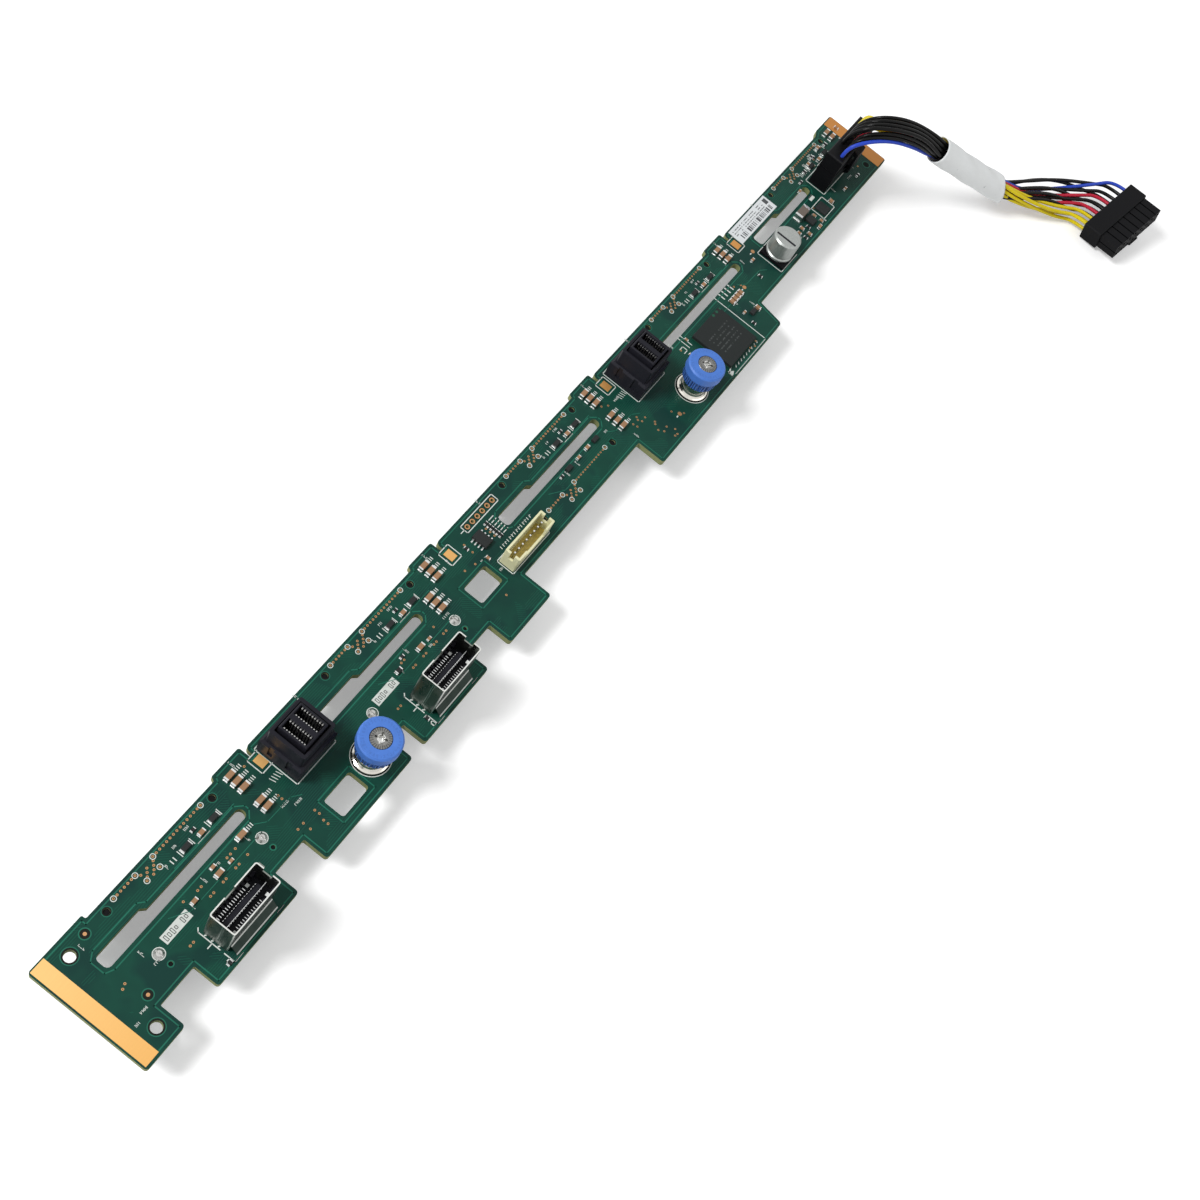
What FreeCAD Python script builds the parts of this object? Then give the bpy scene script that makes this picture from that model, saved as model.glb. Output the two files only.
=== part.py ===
"""Drive backplane board of a rack server: eight drive connectors below, cable sockets,
two captive thumbscrews and a short power harness above.

Frame: X along the board towards the harness, Y across it, Z up from the faces of the drive
connectors, on which the board rests. Everything is drawn in the board's own coordinates,
with the first connector peg as x = y = 0 and the board's upper face as z = 0, and is moved
into the frame when it is saved.
"""
import FreeCAD, Part
import math
import os

V = FreeCAD.Vector

# ---------------------------------------------------------------- driving dimensions, mm
BAY_PITCH = 85.0            # one drive bay to the next
BAY_COUNT = 5
BOARD_THICKNESS = 2.4
BOARD_LEFT = -22.6
BOARD_RIGHT = 393.1
END_TOP = 4.2               # upper edge of the two end blocks
RAIL_TOP = 2.9              # upper edge between the tabs
DEEP_EDGE = -32.7           # lower edge of the tabs
NOTCH_EDGE = -24.8          # bottom of the notches between the tabs
SHALLOW_EDGE = -22.65       # lower edge of the long recesses
CORNER = 1.0
INNER_CORNER = 0.5

PEG_SPAN = 38.7             # between the two pegs of a drive connector
DRIVE_HEIGHT = 9.6          # drive connector below the board
FLOOR = -(BOARD_THICKNESS + DRIVE_HEIGHT)
UPPER_PEG_Y = 0.3
LOWER_PEG_Y = -16.3
CONTACT_PITCH = 1.27
FINE_PITCH = 0.8
FIRST_SIGNAL = 3.4          # first signal contact from the left peg
FIRST_POWER = 17.45         # first power contact from the left peg

SCREW_CENTRES = ((75.1, -23.8), (246.3, -23.9))
KNOB_RADIUS = 6.4
KNOB_TOP = 14.1
KNOB_BOTTOM = 6.3
SCREW_TRAVEL = 4.2

CAGE_PLACES = ((10.65, -28.8), (95.85, -28.8))
CAGE_LENGTH = 17.4
CAGE_WIDTH = 8.1
CAGE_HEIGHT = 16.5
SHEET = 0.35                # sheet metal of the cages

DUAL_SLOT_LEFT = (56.3, 228.2)
CAN_CENTRE = (318.9, -15.6)
CAN_RADIUS = 5.0
CAN_HEIGHT = 9.6

POWER_PITCH = 3.0
POWER_LEFT = 357.9
POWER_LENGTH = 27.0
POWER_FAR_Y = -6.2
POWER_NEAR_Y = -13.5
HEADER_HEIGHT = 9.0
PLUG_TOP = 15.8

WIRE_DIAMETER = 1.4
BUNDLE_PITCH = 1.79
FAR_PITCH = 3.5             # circuits of the harness connector
FAR_COLUMNS = 8
FAR_LENGTH = 29.2
FAR_DEPTH = 16.2
FAR_BAR_DEPTH = 8.0
FAR_HEIGHT = 8.5
FAR_CORNER = (443.2, -100.6, FLOOR - 0.12)
FAR_YAW = -13.0
FAR_NOSE_UP = 10.0
FAR_ROLL_UP = 14.0
FAR_STRAIGHT = 6.4          # straight run of each wire behind that connector

# ---------------------------------------------------------------- frame and files
CENTRE_X = (BOARD_LEFT + BOARD_RIGHT) / 2
CENTRE_Y = (END_TOP + DEEP_EDGE) / 2
TO_FRAME = V(-CENTRE_X, -CENTRE_Y, -FLOOR)


def save(node, shapes):
    """Write one node: a solid, or a group of separate solids."""
    solids = shapes if isinstance(shapes, (list, tuple)) else [shapes]
    flat = []
    for shape in solids:
        flat.extend(shape.Solids)
    group = flat[0] if len(flat) == 1 else Part.makeCompound(flat)
    group = group.copy()
    group.translate(TO_FRAME)
    group.exportStep(f"parts/{node}.step")


# ---------------------------------------------------------------- simple forms
def block(x0, y0, z0, x1, y1, z1):
    """Box between two corners."""
    low = V(min(x0, x1), min(y0, y1), min(z0, z1))
    return Part.makeBox(abs(x1 - x0), abs(y1 - y0), abs(z1 - z0), low)


def post(x, y, z0, z1, radius):
    """Upright cylinder."""
    return Part.makeCylinder(radius, z1 - z0, V(x, y, z0))


def rounded_wire(corners, z):
    """Closed outline of (x, y, corner radius) points, with a tangent arc at each corner."""
    count = len(corners)
    starts = []
    ends = []
    mids = []
    for index in range(count):
        x, y, radius = corners[index]
        here = V(x, y, z)
        before = V(corners[index - 1][0], corners[index - 1][1], z) - here
        after = V(corners[(index + 1) % count][0], corners[(index + 1) % count][1], z) - here
        before.normalize()
        after.normalize()
        half = before.getAngle(after) / 2
        if radius <= 0:
            starts.append(here)
            ends.append(here)
            mids.append(None)
            continue
        reach = radius / math.tan(half)
        inward = before + after
        inward.normalize()
        starts.append(here + before * reach)
        ends.append(here + after * reach)
        mids.append(here + inward * (radius / math.sin(half) - radius))
    edges = []
    for index in range(count):
        if mids[index] is not None:
            edges.append(Part.Arc(starts[index], mids[index], ends[index]).toShape())
        following = starts[(index + 1) % count]
        if (following - ends[index]).Length > 1e-6:
            edges.append(Part.LineSegment(ends[index], following).toShape())
    return Part.Wire(edges)


def plate(corners, z0, z1):
    """Flat plate of a rounded outline."""
    face = Part.Face(rounded_wire(corners, z0))
    return face.extrude(V(0, 0, z1 - z0))


def rounded_box(x0, y0, x1, y1, radius, z0, z1):
    """Upright box with rounded vertical edges."""
    corners = [(x0, y0, radius), (x1, y0, radius), (x1, y1, radius), (x0, y1, radius)]
    return plate(corners, z0, z1)


def turned(x, y, profile):
    """Solid turned about the vertical line through (x, y) from (radius, z) points."""
    points = [V(x + radius, y, z) for radius, z in profile]
    wire = Part.makePolygon(points + [points[0]])
    return Part.Face(wire).revolve(V(x, y, 0), V(0, 0, 1), 360)


# ---------------------------------------------------------------- circuit board
def board_outline():
    """Corners of the board: tabs and slits above, tabs and notches below."""
    corners = [(BOARD_LEFT, DEEP_EDGE, CORNER), (BOARD_LEFT, END_TOP, CORNER)]
    corners += [(-4.4, END_TOP, 0.5), (-4.4, RAIL_TOP, INNER_CORNER)]
    for bay in range(BAY_COUNT - 1):
        left = bay * BAY_PITCH
        corners += [
            (left + 42.3, RAIL_TOP, 0),
            (left + 43.0, END_TOP, 0.4),
            (left + 53.65, END_TOP, 0.8),
            (left + 53.65, 0.4, 0),
            (left + 54.6, 0.4, 0),
            (left + 54.6, RAIL_TOP, 1.6),
        ]
    corners += [(379.0, RAIL_TOP, 0), (382.0, END_TOP, 0.8)]
    corners += [(BOARD_RIGHT, END_TOP, CORNER), (BOARD_RIGHT, SHALLOW_EDGE, CORNER)]
    corners += [(295.6, SHALLOW_EDGE, INNER_CORNER), (293.8, DEEP_EDGE, 1.5)]
    corners += [(215.0, DEEP_EDGE, CORNER), (215.0, SHALLOW_EDGE, INNER_CORNER)]
    corners += [(150.5, SHALLOW_EDGE, INNER_CORNER), (150.5, DEEP_EDGE, CORNER)]
    for notch_right, notch_left in ((129.6, 118.3), (88.3, 82.4), (45.4, 33.8), (3.05, -9.1)):
        corners += [
            (notch_right, DEEP_EDGE, CORNER),
            (notch_right, NOTCH_EDGE, INNER_CORNER),
            (notch_left, NOTCH_EDGE, INNER_CORNER),
            (notch_left, DEEP_EDGE, CORNER),
        ]
    return corners


def air_slot(wide_left, wide_right, narrow_right):
    """Bottle-shaped cooling slot: a wide stretch that necks down to a narrow one."""
    return [
        (wide_left, -9.6, 1.4),
        (narrow_right, -9.6, 1.45),
        (narrow_right, -6.5, 1.45),
        (wide_right + 1.3, -6.5, 0.6),
        (wide_right, -5.2, 0.6),
        (wide_left, -5.2, 1.4),
    ]


def plain_slot(left, right):
    """Cooling slot of one width."""
    return [(left, -9.6, 1.45), (right, -9.6, 1.45), (right, -6.5, 1.45), (left, -6.5, 1.45)]


AIR_SLOTS = (
    air_slot(-10.4, 5.4, 41.3),
    air_slot(74.6, 90.4, 118.0),
    air_slot(159.8, 175.4, 211.5),
    plain_slot(246.6, 302.7),
    air_slot(317.5, 333.6, 354.5),
)
WINDOWS = ((56.8, -28.9, 67.9, -22.0), (133.5, -19.1, 144.2, -12.0))
MOUNT_HOLES = ((-13.5, -0.5), (-13.5, -27.6))
FERRULE_HOLE = 3.2
TOOLING_HOLE = (384.2, -18.3, 1.25)
HEADER_HOLES = [(150.8 + 2.54 * index, -0.6) for index in range(6)]

LOCK_PEG_DROP = 3.8         # plastic pegs of a locked connector, below its metal locks
PEG_RADIUS = 0.75
SMALL_PEG_RADIUS = 0.5


def peg_places():
    """Left peg of every drive connector, with the lower ones that carry metal locks last."""
    upper = [(bay * BAY_PITCH, UPPER_PEG_Y) for bay in range(BAY_COUNT)]
    middle = [(2 * BAY_PITCH, LOWER_PEG_Y)]
    locked = [(0.0, LOWER_PEG_Y), (BAY_PITCH, LOWER_PEG_Y)]
    return upper, middle, locked


SLOT_BAND = (-9.6, -6.5)    # the cooling slots' narrow stretches lie between these
SECTION_EDGES = (-9.1, 3.05, 33.8, 45.4, 82.4, 88.3, 118.3, 129.6, 150.5, 215.0, 296.2)


def laminate_sections(board):
    """The laminate as plain sections that meet face to face round its notches and windows."""
    below, above = -BOARD_THICKNESS - 1, 1
    edges = sorted(SECTION_EDGES + tuple(x for window in WINDOWS for x in (window[0], window[2])))
    edges = [BOARD_LEFT - 1] + edges + [BOARD_RIGHT + 1]
    areas = [(edges[0], SLOT_BAND[1], edges[-1], END_TOP + 1), (edges[0], SLOT_BAND[0], edges[-1], SLOT_BAND[1])]
    areas += [(left, DEEP_EDGE - 1, right, SLOT_BAND[0]) for left, right in zip(edges, edges[1:])]
    sections = []
    for x0, y0, x1, y1 in areas:
        sections.extend(board.common(block(x0, y0, below, x1, y1, above)).Solids)
    return sections


def circuit_board():
    """Laminate with its slots, windows and holes."""
    board = plate(board_outline(), -BOARD_THICKNESS, 0)
    through = (-BOARD_THICKNESS - 1, 1)
    tools = [plate(slot, *through) for slot in AIR_SLOTS]
    for x0, y0, x1, y1 in WINDOWS:
        tools.append(rounded_box(x0, y0, x1, y1, 1.0, *through))
    for x, y in MOUNT_HOLES:
        tools.append(post(x, y, *through, 1.6))
    x, y, radius = TOOLING_HOLE
    tools.append(post(x, y, *through, radius))
    for x, y in HEADER_HOLES:
        tools.append(post(x, y, *through, 0.5))
    for x, y in SCREW_CENTRES:
        tools.append(post(x, y, *through, FERRULE_HOLE))
    upper, middle, locked = peg_places()
    for x, y in upper + middle + locked:
        tools.append(post(x, y, *through, PEG_RADIUS + 0.1))
        tools.append(post(x + PEG_SPAN, y, *through, PEG_RADIUS + 0.1))
    for x, y in locked:
        for span in (0, PEG_SPAN):
            tools.append(post(x + span, y - LOCK_PEG_DROP, *through, SMALL_PEG_RADIUS + 0.1))
    return laminate_sections(board.cut(tools))


LAND = 0.08                 # thickness of the gold plated areas
EDGE_LAND_LEFT = (-22.1, -31.9, -17.6, 3.8)
EDGE_LAND_RIGHT = (387.3, -22.2, 392.9, 3.8)
PAD_LEFTS = (53.2, 138.2, 223.2, 308.3)


def gold_lands():
    """Gold plated ground areas at both ends and beside the slits."""
    left = block(*EDGE_LAND_LEFT[:2], 0, *EDGE_LAND_LEFT[2:], LAND)
    right = block(*EDGE_LAND_RIGHT[:2], 0, *EDGE_LAND_RIGHT[2:], LAND)
    pads = [block(x, -4.3, 0, x + 2.7, -0.9, LAND) for x in PAD_LEFTS]
    return [left, right] + pads


# ---------------------------------------------------------------- drive connectors
BODY_OVERHANG = 2.0         # housing beyond the pegs
BODY_HALF = 3.55
BASE_HEIGHT = 3.0
SLOT_FACE = 0.95            # half width of the blade slot


def drive_connector(peg_x, peg_y, centre_y, peg_radius):
    """Receptacle that hangs below the board: base, slotted nose and two guide arms."""
    under = -BOARD_THICKNESS
    left = peg_x - BODY_OVERHANG
    right = peg_x + PEG_SPAN + BODY_OVERHANG
    base = block(left, centre_y - BODY_HALF, under - BASE_HEIGHT, right, centre_y + BODY_HALF, under)
    nose = block(left + 2.6, centre_y - 2.4, under - 8.9, right - 2.6, centre_y + 2.4, under - BASE_HEIGHT)
    nose = nose.makeChamfer(0.5, [e for e in nose.Edges if e.BoundBox.ZMax < under - 8.8])
    body = base.fuse(nose)
    for arm_left in (left, right - 3.4):
        arm = block(arm_left, centre_y - 2.9, FLOOR, arm_left + 3.4, centre_y + 2.9, under - BASE_HEIGHT)
        tip = [e for e in arm.Edges if e.BoundBox.ZMax < FLOOR + 0.1]
        body = body.fuse(arm.makeChamfer(0.7, tip))
    for x in (peg_x, peg_x + PEG_SPAN):
        body = body.fuse(post(x, peg_y, under, -0.35, peg_radius))
    slot_left = peg_x + 2.6
    slot_right = peg_x + 36.1
    slot = block(slot_left, centre_y - SLOT_FACE, FLOOR - 1, slot_right, centre_y + SLOT_FACE, under - 2.2)
    key_signal = block(slot_left, centre_y + SLOT_FACE, FLOOR - 1, slot_left + 0.5, centre_y + 1.8, under - 2.2)
    key_power = block(slot_right - 0.9, centre_y + SLOT_FACE, FLOOR - 1, slot_right, centre_y + 1.8, under - 2.2)
    body = body.cut([slot, key_signal, key_power])
    return body.removeSplitter()


def contact_blade(x, face_y, inward, width):
    """One contact, bowed out of the slot wall towards the drive's blade."""
    top = -BOARD_THICKNESS - 2.6
    low = -BOARD_THICKNESS - 8.0
    points = [
        V(x, face_y, top),
        V(x, face_y + inward * 0.5, low + 1.4),
        V(x, face_y + inward * 0.1, low),
        V(x, face_y, low),
    ]
    profile = Part.Face(Part.makePolygon(points + [points[0]]))
    return profile.extrude(V(width, 0, 0))


def drive_contacts(peg_x, centre_y, fine_count):
    """Coarse contacts on one wall of the slot and fine ones on the other."""
    wall = centre_y + SLOT_FACE
    places = [FIRST_SIGNAL + CONTACT_PITCH * n for n in range(7)]
    places += [FIRST_POWER + CONTACT_PITCH * n for n in range(14)]
    blades = [contact_blade(peg_x + x - 0.35, wall, -1, 0.7) for x in places]
    first_fine = 11.9 if fine_count < 10 else 4.0
    for n in range(fine_count):
        x = peg_x + first_fine + FINE_PITCH * n
        blades.append(contact_blade(x - 0.22, centre_y - SLOT_FACE, 1, 0.44))
    return blades


def board_lock(x, y):
    """Metal peg of a surface mounted connector, soldered into the board."""
    under = -BOARD_THICKNESS
    peg = turned(x, y, [(0, under), (0.8, under), (0.8, 0), (1.45, 0), (0.8, 0.75), (0, 0.75)])
    slit = block(x - 0.2, y - 1.5, 0.25, x + 0.2, y + 1.5, 1.0)
    return peg.cut(slit)


# ---------------------------------------------------------------- cable sockets
def cable_cage(x0, y0):
    """Folded sheet cage round a cable socket: open top, skirt on the lower side."""
    x1 = x0 + CAGE_LENGTH
    y1 = y0 + CAGE_WIDTH
    shell = rounded_box(x0, y0, x1, y1, 0.7, 0, CAGE_HEIGHT)
    inside = rounded_box(x0 + SHEET, y0 + SHEET, x1 - SHEET, y1 - SHEET, 0.4, -1, CAGE_HEIGHT + 1)
    shell = shell.cut(inside)
    kink = 3.4
    reach = 2.4
    section = [V(x0 + 0.9, y0, kink), V(x0 + 0.9, y0 - reach, 0.5), V(x0 + 0.9, y0 - reach, 0)]
    section += [V(x0 + 0.9, y0 - reach + SHEET, 0), V(x0 + 0.9, y0 - reach + SHEET, 0.6)]
    section += [V(x0 + 0.9, y0, kink - 0.5)]
    skirt = Part.Face(Part.makePolygon(section + [section[0]])).extrude(V(CAGE_LENGTH - 1.8, 0, 0))
    cage = shell.fuse(skirt)
    notch = block(x0 + 5.6, y1 - 1, CAGE_HEIGHT - 2.4, x0 + 9.2, y1 + 1, CAGE_HEIGHT + 1)
    key = block(x1 - 1, y0 + 2.6, CAGE_HEIGHT - 2.0, x1 + 1, y1 - 2.6, CAGE_HEIGHT + 1)
    bump = block(x1, y1 - 2.4, CAGE_HEIGHT - 3.4, x1 + 0.7, y1 - 0.6, CAGE_HEIGHT - 1.2)
    return cage.cut([notch, key]).fuse(bump).removeSplitter()


INSERT_TOP = 7.0
TONGUE_TOP = 11.6
TONGUE_HALF = 0.9


def cage_insert(x0, y0):
    """Insulator inside a cage: floor, card tongue and two combed side ledges."""
    left = x0 + SHEET
    right = x0 + CAGE_LENGTH - SHEET
    low = y0 + SHEET
    high = y0 + CAGE_WIDTH - SHEET
    middle = (low + high) / 2
    body = block(left, low, 0, right, high, INSERT_TOP)
    tongue = block(left + 1.4, middle - TONGUE_HALF, INSERT_TOP, right - 2.2, middle + TONGUE_HALF, TONGUE_TOP)
    tip = [e for e in tongue.Edges if e.BoundBox.ZMin > TONGUE_TOP - 0.1 and e.Length > 5]
    body = body.fuse(tongue.makeChamfer(0.35, tip))
    for y_wall, y_tooth in ((low, low + 0.9), (high, high - 0.9)):
        body = body.fuse(block(left, y_wall, INSERT_TOP, right, y_tooth, TONGUE_TOP - 1.2))
    teeth = []
    for index in range(9):
        x = left + 2.3 + 1.5 * index
        teeth.append(block(x, low - 1, TONGUE_TOP - 2.4, x + 0.7, low + 2, TONGUE_TOP))
        teeth.append(block(x, high - 2, TONGUE_TOP - 2.4, x + 0.7, high + 1, TONGUE_TOP))
    clear_tongue = block(left, middle - TONGUE_HALF, 0, right, middle + TONGUE_HALF, 30)
    teeth = [tooth.cut(clear_tongue) for tooth in teeth]
    inside = rounded_box(left, low, right, high, 0.4, -1, CAGE_HEIGHT)
    return body.cut(teeth).common(inside).removeSplitter()


def cage_contacts(x0, y0):
    """Contact strips on both faces of the card tongue."""
    middle = y0 + CAGE_WIDTH / 2
    strips = []
    for index in range(16):
        x = x0 + SHEET + 1.9 + FINE_PITCH * index
        for face, side in ((middle + TONGUE_HALF, 1), (middle - TONGUE_HALF, -1)):
            strips.append(block(x, face, INSERT_TOP, x + 0.4, face + side * 0.12, TONGUE_TOP - 0.5))
    return strips


# ---------------------------------------------------------------- dual slot connectors
SLOT_WIDTHS = ((3.5, 6.7), (8.3, 11.5))


def dual_slot_housing(left):
    """Black connector with a wide base, a raised collar and a core with two long slots."""
    base = block(left, -13.6, 0, left + 15.3, 0.6, 7.2)
    foot = [e for e in base.Edges if e.BoundBox.ZMin > 7.1]
    base = base.makeChamfer(0.7, foot)
    collar = rounded_box(left + 1.0, -12.5, left + 14.1, -0.6, 0.6, 6.0, 13.5)
    well = block(left + 2.1, -11.7, 8.2, left + 13.0, -1.4, 20)
    body = base.fuse(collar).cut(well)
    core = block(left + 3.0, -11.2, 7.0, left + 12.1, -1.9, 15.4)
    rim = [e for e in core.Edges if e.BoundBox.ZMin > 15.3]
    body = body.fuse(core.makeChamfer(0.3, rim))
    slots = []
    for x0, x1 in SLOT_WIDTHS:
        slots.append(block(left + x0, -10.6, 8.4, left + x1, -2.5, 20))
    body = body.cut(slots)
    keys = []
    for y in (-9.6, -3.5):
        keys.append(block(left - 0.5, y - 0.8, 2.2, left + 0.45, y + 0.8, 8.0))
    return body.cut(keys).removeSplitter()


def dual_slot_contacts(left):
    """Comb of contacts on both long walls of each slot."""
    pins = []
    for x0, x1 in SLOT_WIDTHS:
        for index in range(9):
            y = -10.2 + 0.85 * index
            for face, side in ((left + x0, 1), (left + x1, -1)):
                pins.append(block(face, y, 8.6, face + side * 0.55, y + 0.38, 14.7))
    return pins


# ---------------------------------------------------------------- sideband header
SIDEBAND = (148.4, -19.8, 167.0, -14.4)
SIDEBAND_TOP = 7.35


def sideband_header():
    """Open shrouded wafer header with a key gap in one wall."""
    x0, y0, x1, y1 = SIDEBAND
    body = rounded_box(x0, y0, x1, y1, 0.4, 0, SIDEBAND_TOP)
    well = block(x0 + 0.75, y0 + 0.65, 1.6, x1 - 0.75, y1 - 0.65, 20)
    gap = block(x0 + 4.2, y0 - 1, 3.4, x1 - 4.2, y0 + 1, 20)
    end_gaps = [block(x - 1, y0 + 1.9, 4.4, x + 1, y1 - 1.9, 20) for x in (x0, x1)]
    return body.cut([well, gap] + end_gaps).removeSplitter()


def sideband_pins():
    """Row of square pins in the sideband header."""
    x0, y0, x1, y1 = SIDEBAND
    y = (y0 + y1) / 2 + 0.2
    first = (x0 + x1) / 2 - 3.5 * 2.0
    return [block(first + 2.0 * n - 0.25, y - 0.25, 1.6, first + 2.0 * n + 0.25, y + 0.25, 5.8) for n in range(8)]


# ---------------------------------------------------------------- power inlet
def circuit_places():
    """Centres of the power circuits as (column, row, x, y); row 0 is nearer the upper edge."""
    first = POWER_LEFT + POWER_LENGTH / 2 - 3.5 * POWER_PITCH
    middle = (POWER_FAR_Y + POWER_NEAR_Y) / 2
    places = []
    for column in range(8):
        for row in (0, 1):
            y = middle + (POWER_PITCH / 2 if row == 0 else -POWER_PITCH / 2)
            places.append((column, row, first + POWER_PITCH * column, y))
    return places


HEADER_WALL = 0.75


def power_header():
    """Shroud soldered to the board, with a ramp for the plug's latch."""
    right = POWER_LEFT + POWER_LENGTH
    body = rounded_box(POWER_LEFT, POWER_NEAR_Y, right, POWER_FAR_Y, 0.4, 0, HEADER_HEIGHT)
    well = block(
        POWER_LEFT + HEADER_WALL, POWER_NEAR_Y + HEADER_WALL, 1.2,
        right - HEADER_WALL, POWER_FAR_Y - HEADER_WALL, 20,
    )
    middle = POWER_LEFT + POWER_LENGTH / 2
    ramp_points = [V(middle - 2, POWER_NEAR_Y, 4.0), V(middle - 2, POWER_NEAR_Y - 0.9, 6.6)]
    ramp_points += [V(middle - 2, POWER_NEAR_Y - 0.9, 7.2), V(middle - 2, POWER_NEAR_Y, 7.2)]
    ramp = Part.Face(Part.makePolygon(ramp_points + [ramp_points[0]])).extrude(V(4, 0, 0))
    return body.cut(well).fuse(ramp).removeSplitter()


def power_pins():
    """Square pins of the header, standing in the plug's circuits."""
    return [block(x - 0.3, y - 0.3, 1.2, x + 0.3, y + 0.3, 7.6) for _, _, x, y in circuit_places()]


def power_plug():
    """Crimp housing seated in the header, with a lever latch on the lower side."""
    right = POWER_LEFT + POWER_LENGTH
    inner = block(
        POWER_LEFT + HEADER_WALL, POWER_NEAR_Y + HEADER_WALL, 1.2,
        right - HEADER_WALL, POWER_FAR_Y - HEADER_WALL, HEADER_HEIGHT,
    )
    head = block(POWER_LEFT + 0.2, POWER_NEAR_Y + 0.2, HEADER_HEIGHT, right - 0.2, POWER_FAR_Y - 0.2, PLUG_TOP)
    rim = [e for e in head.Edges if e.BoundBox.ZMin > PLUG_TOP - 0.1]
    head = head.makeChamfer(0.4, rim)
    middle = POWER_LEFT + POWER_LENGTH / 2
    y = POWER_NEAR_Y
    lever_points = [V(middle - 3, y + 0.2, 15.0), V(middle - 3, y - 1.9, 14.2), V(middle - 3, y - 2.2, 5.0)]
    lever_points += [V(middle - 3, y - 0.35, 3.6), V(middle - 3, y - 1.1, 7.3), V(middle - 3, y - 1.0, 12.4)]
    lever_points += [V(middle - 3, y + 0.2, 13.2)]
    lever = Part.Face(Part.makePolygon(lever_points + [lever_points[0]])).extrude(V(6, 0, 0))
    plug = inner.fuse(head).fuse(lever)
    bores = [block(x - 0.55, y - 0.55, 0, x + 0.55, y + 0.55, 8.2) for _, _, x, y in circuit_places()]
    return plug.cut(bores).removeSplitter()


# ---------------------------------------------------------------- captive thumbscrews
FLANGE_RADIUS = 5.3
NECK_RADIUS = 4.15
NECK_TOP = 6.6
SHANK_BORE = 1.7
SPRING_BORE = 3.3
KNOB_CAVITY = 4.5
CAVITY_TOP = 11.2
HEAD_RADIUS = 3.25
HEAD_SEAT = 12.7
SHAFT_RADIUS = 1.5
SCREW_TIP = -1.7


def ferrule(x, y):
    """Nickel plated retainer pressed into the board, flared at its foot."""
    under = -BOARD_THICKNESS
    profile = [
        (SHANK_BORE, under),
        (FERRULE_HOLE, under),
        (FERRULE_HOLE, 0),
        (FLANGE_RADIUS, 0),
        (FLANGE_RADIUS, 0.45),
        (4.75, 0.75),
        (4.35, 1.3),
        (NECK_RADIUS, 2.0),
        (NECK_RADIUS, NECK_TOP - 0.3),
        (NECK_RADIUS - 0.3, NECK_TOP),
        (SPRING_BORE, NECK_TOP),
        (SPRING_BORE, 0.8),
        (SHANK_BORE, 0.8),
    ]
    return turned(x, y, profile)


def thumb_knob(x, y):
    """Moulded knob: smooth rim above, slimmer knurled skirt below, hollow underneath."""
    skirt = KNOB_RADIUS - 0.55
    step = 10.3
    profile = [
        (KNOB_CAVITY, KNOB_BOTTOM),
        (skirt - 0.3, KNOB_BOTTOM),
        (skirt, KNOB_BOTTOM + 0.3),
        (skirt, step - 0.3),
        (KNOB_RADIUS, step),
        (KNOB_RADIUS, KNOB_TOP - 0.5),
        (KNOB_RADIUS - 0.5, KNOB_TOP),
        (HEAD_RADIUS, KNOB_TOP),
        (HEAD_RADIUS, HEAD_SEAT),
        (SHANK_BORE, HEAD_SEAT),
        (SHANK_BORE, CAVITY_TOP),
        (KNOB_CAVITY, CAVITY_TOP),
    ]
    knob = turned(x, y, profile)
    grooves = []
    count = 28
    for index in range(count):
        angle = 2 * math.pi * index / count
        groove = block(skirt - 0.22, -0.22, KNOB_BOTTOM - 1, skirt + 1, 0.22, step - 0.35)
        groove.rotate(V(0, 0, 0), V(0, 0, 1), math.degrees(angle))
        groove.translate(V(x, y, 0))
        grooves.append(groove)
    return knob.cut(grooves)


def captive_screw(x, y):
    """Steel screw moulded into the knob, with a cross recess in its head."""
    profile = [
        (0, SCREW_TIP),
        (SHAFT_RADIUS - 0.4, SCREW_TIP),
        (SHAFT_RADIUS, SCREW_TIP + 0.5),
        (SHAFT_RADIUS, CAVITY_TOP),
        (SHANK_BORE, CAVITY_TOP),
        (SHANK_BORE, HEAD_SEAT),
        (HEAD_RADIUS, HEAD_SEAT),
        (HEAD_RADIUS, KNOB_TOP - 0.25),
        (HEAD_RADIUS - 0.25, KNOB_TOP),
        (0, KNOB_TOP),
    ]
    screw = turned(x, y, profile)
    recess = Part.makeCone(1.0, 0.6, 1.6, V(x, y, KNOB_TOP), V(0, 0, -1))
    for angle in (0, 90):
        wing_points = [V(-1.9, -0.28, KNOB_TOP + 0.1), V(1.9, -0.28, KNOB_TOP + 0.1)]
        wing_points += [V(0.9, -0.28, KNOB_TOP - 1.7), V(-0.9, -0.28, KNOB_TOP - 1.7)]
        wing = Part.Face(Part.makePolygon(wing_points + [wing_points[0]])).extrude(V(0, 0.56, 0))
        wing.rotate(V(0, 0, 0), V(0, 0, 1), angle + 20)
        wing.translate(V(x, y, 0))
        recess = recess.fuse(wing)
    return screw.cut(recess)


def lift_spring(x, y):
    """Coil spring between the ferrule's floor and the knob."""
    wire_radius = 0.3
    coil_radius = 2.5
    low = 0.8 + wire_radius
    high = CAVITY_TOP - wire_radius
    turns = 4.0
    helix = Part.makeHelix((high - low) / turns, high - low, coil_radius)
    corners = [(-1, -1), (1, -1), (1, 1), (-1, 1), (-1, -1)]
    section = Part.makePolygon([V(coil_radius + a * wire_radius, 0, b * wire_radius) for a, b in corners])
    spring = Part.Wire(helix).makePipeShell([section], True, True)
    spring.translate(V(x, y, low))
    return spring


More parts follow.
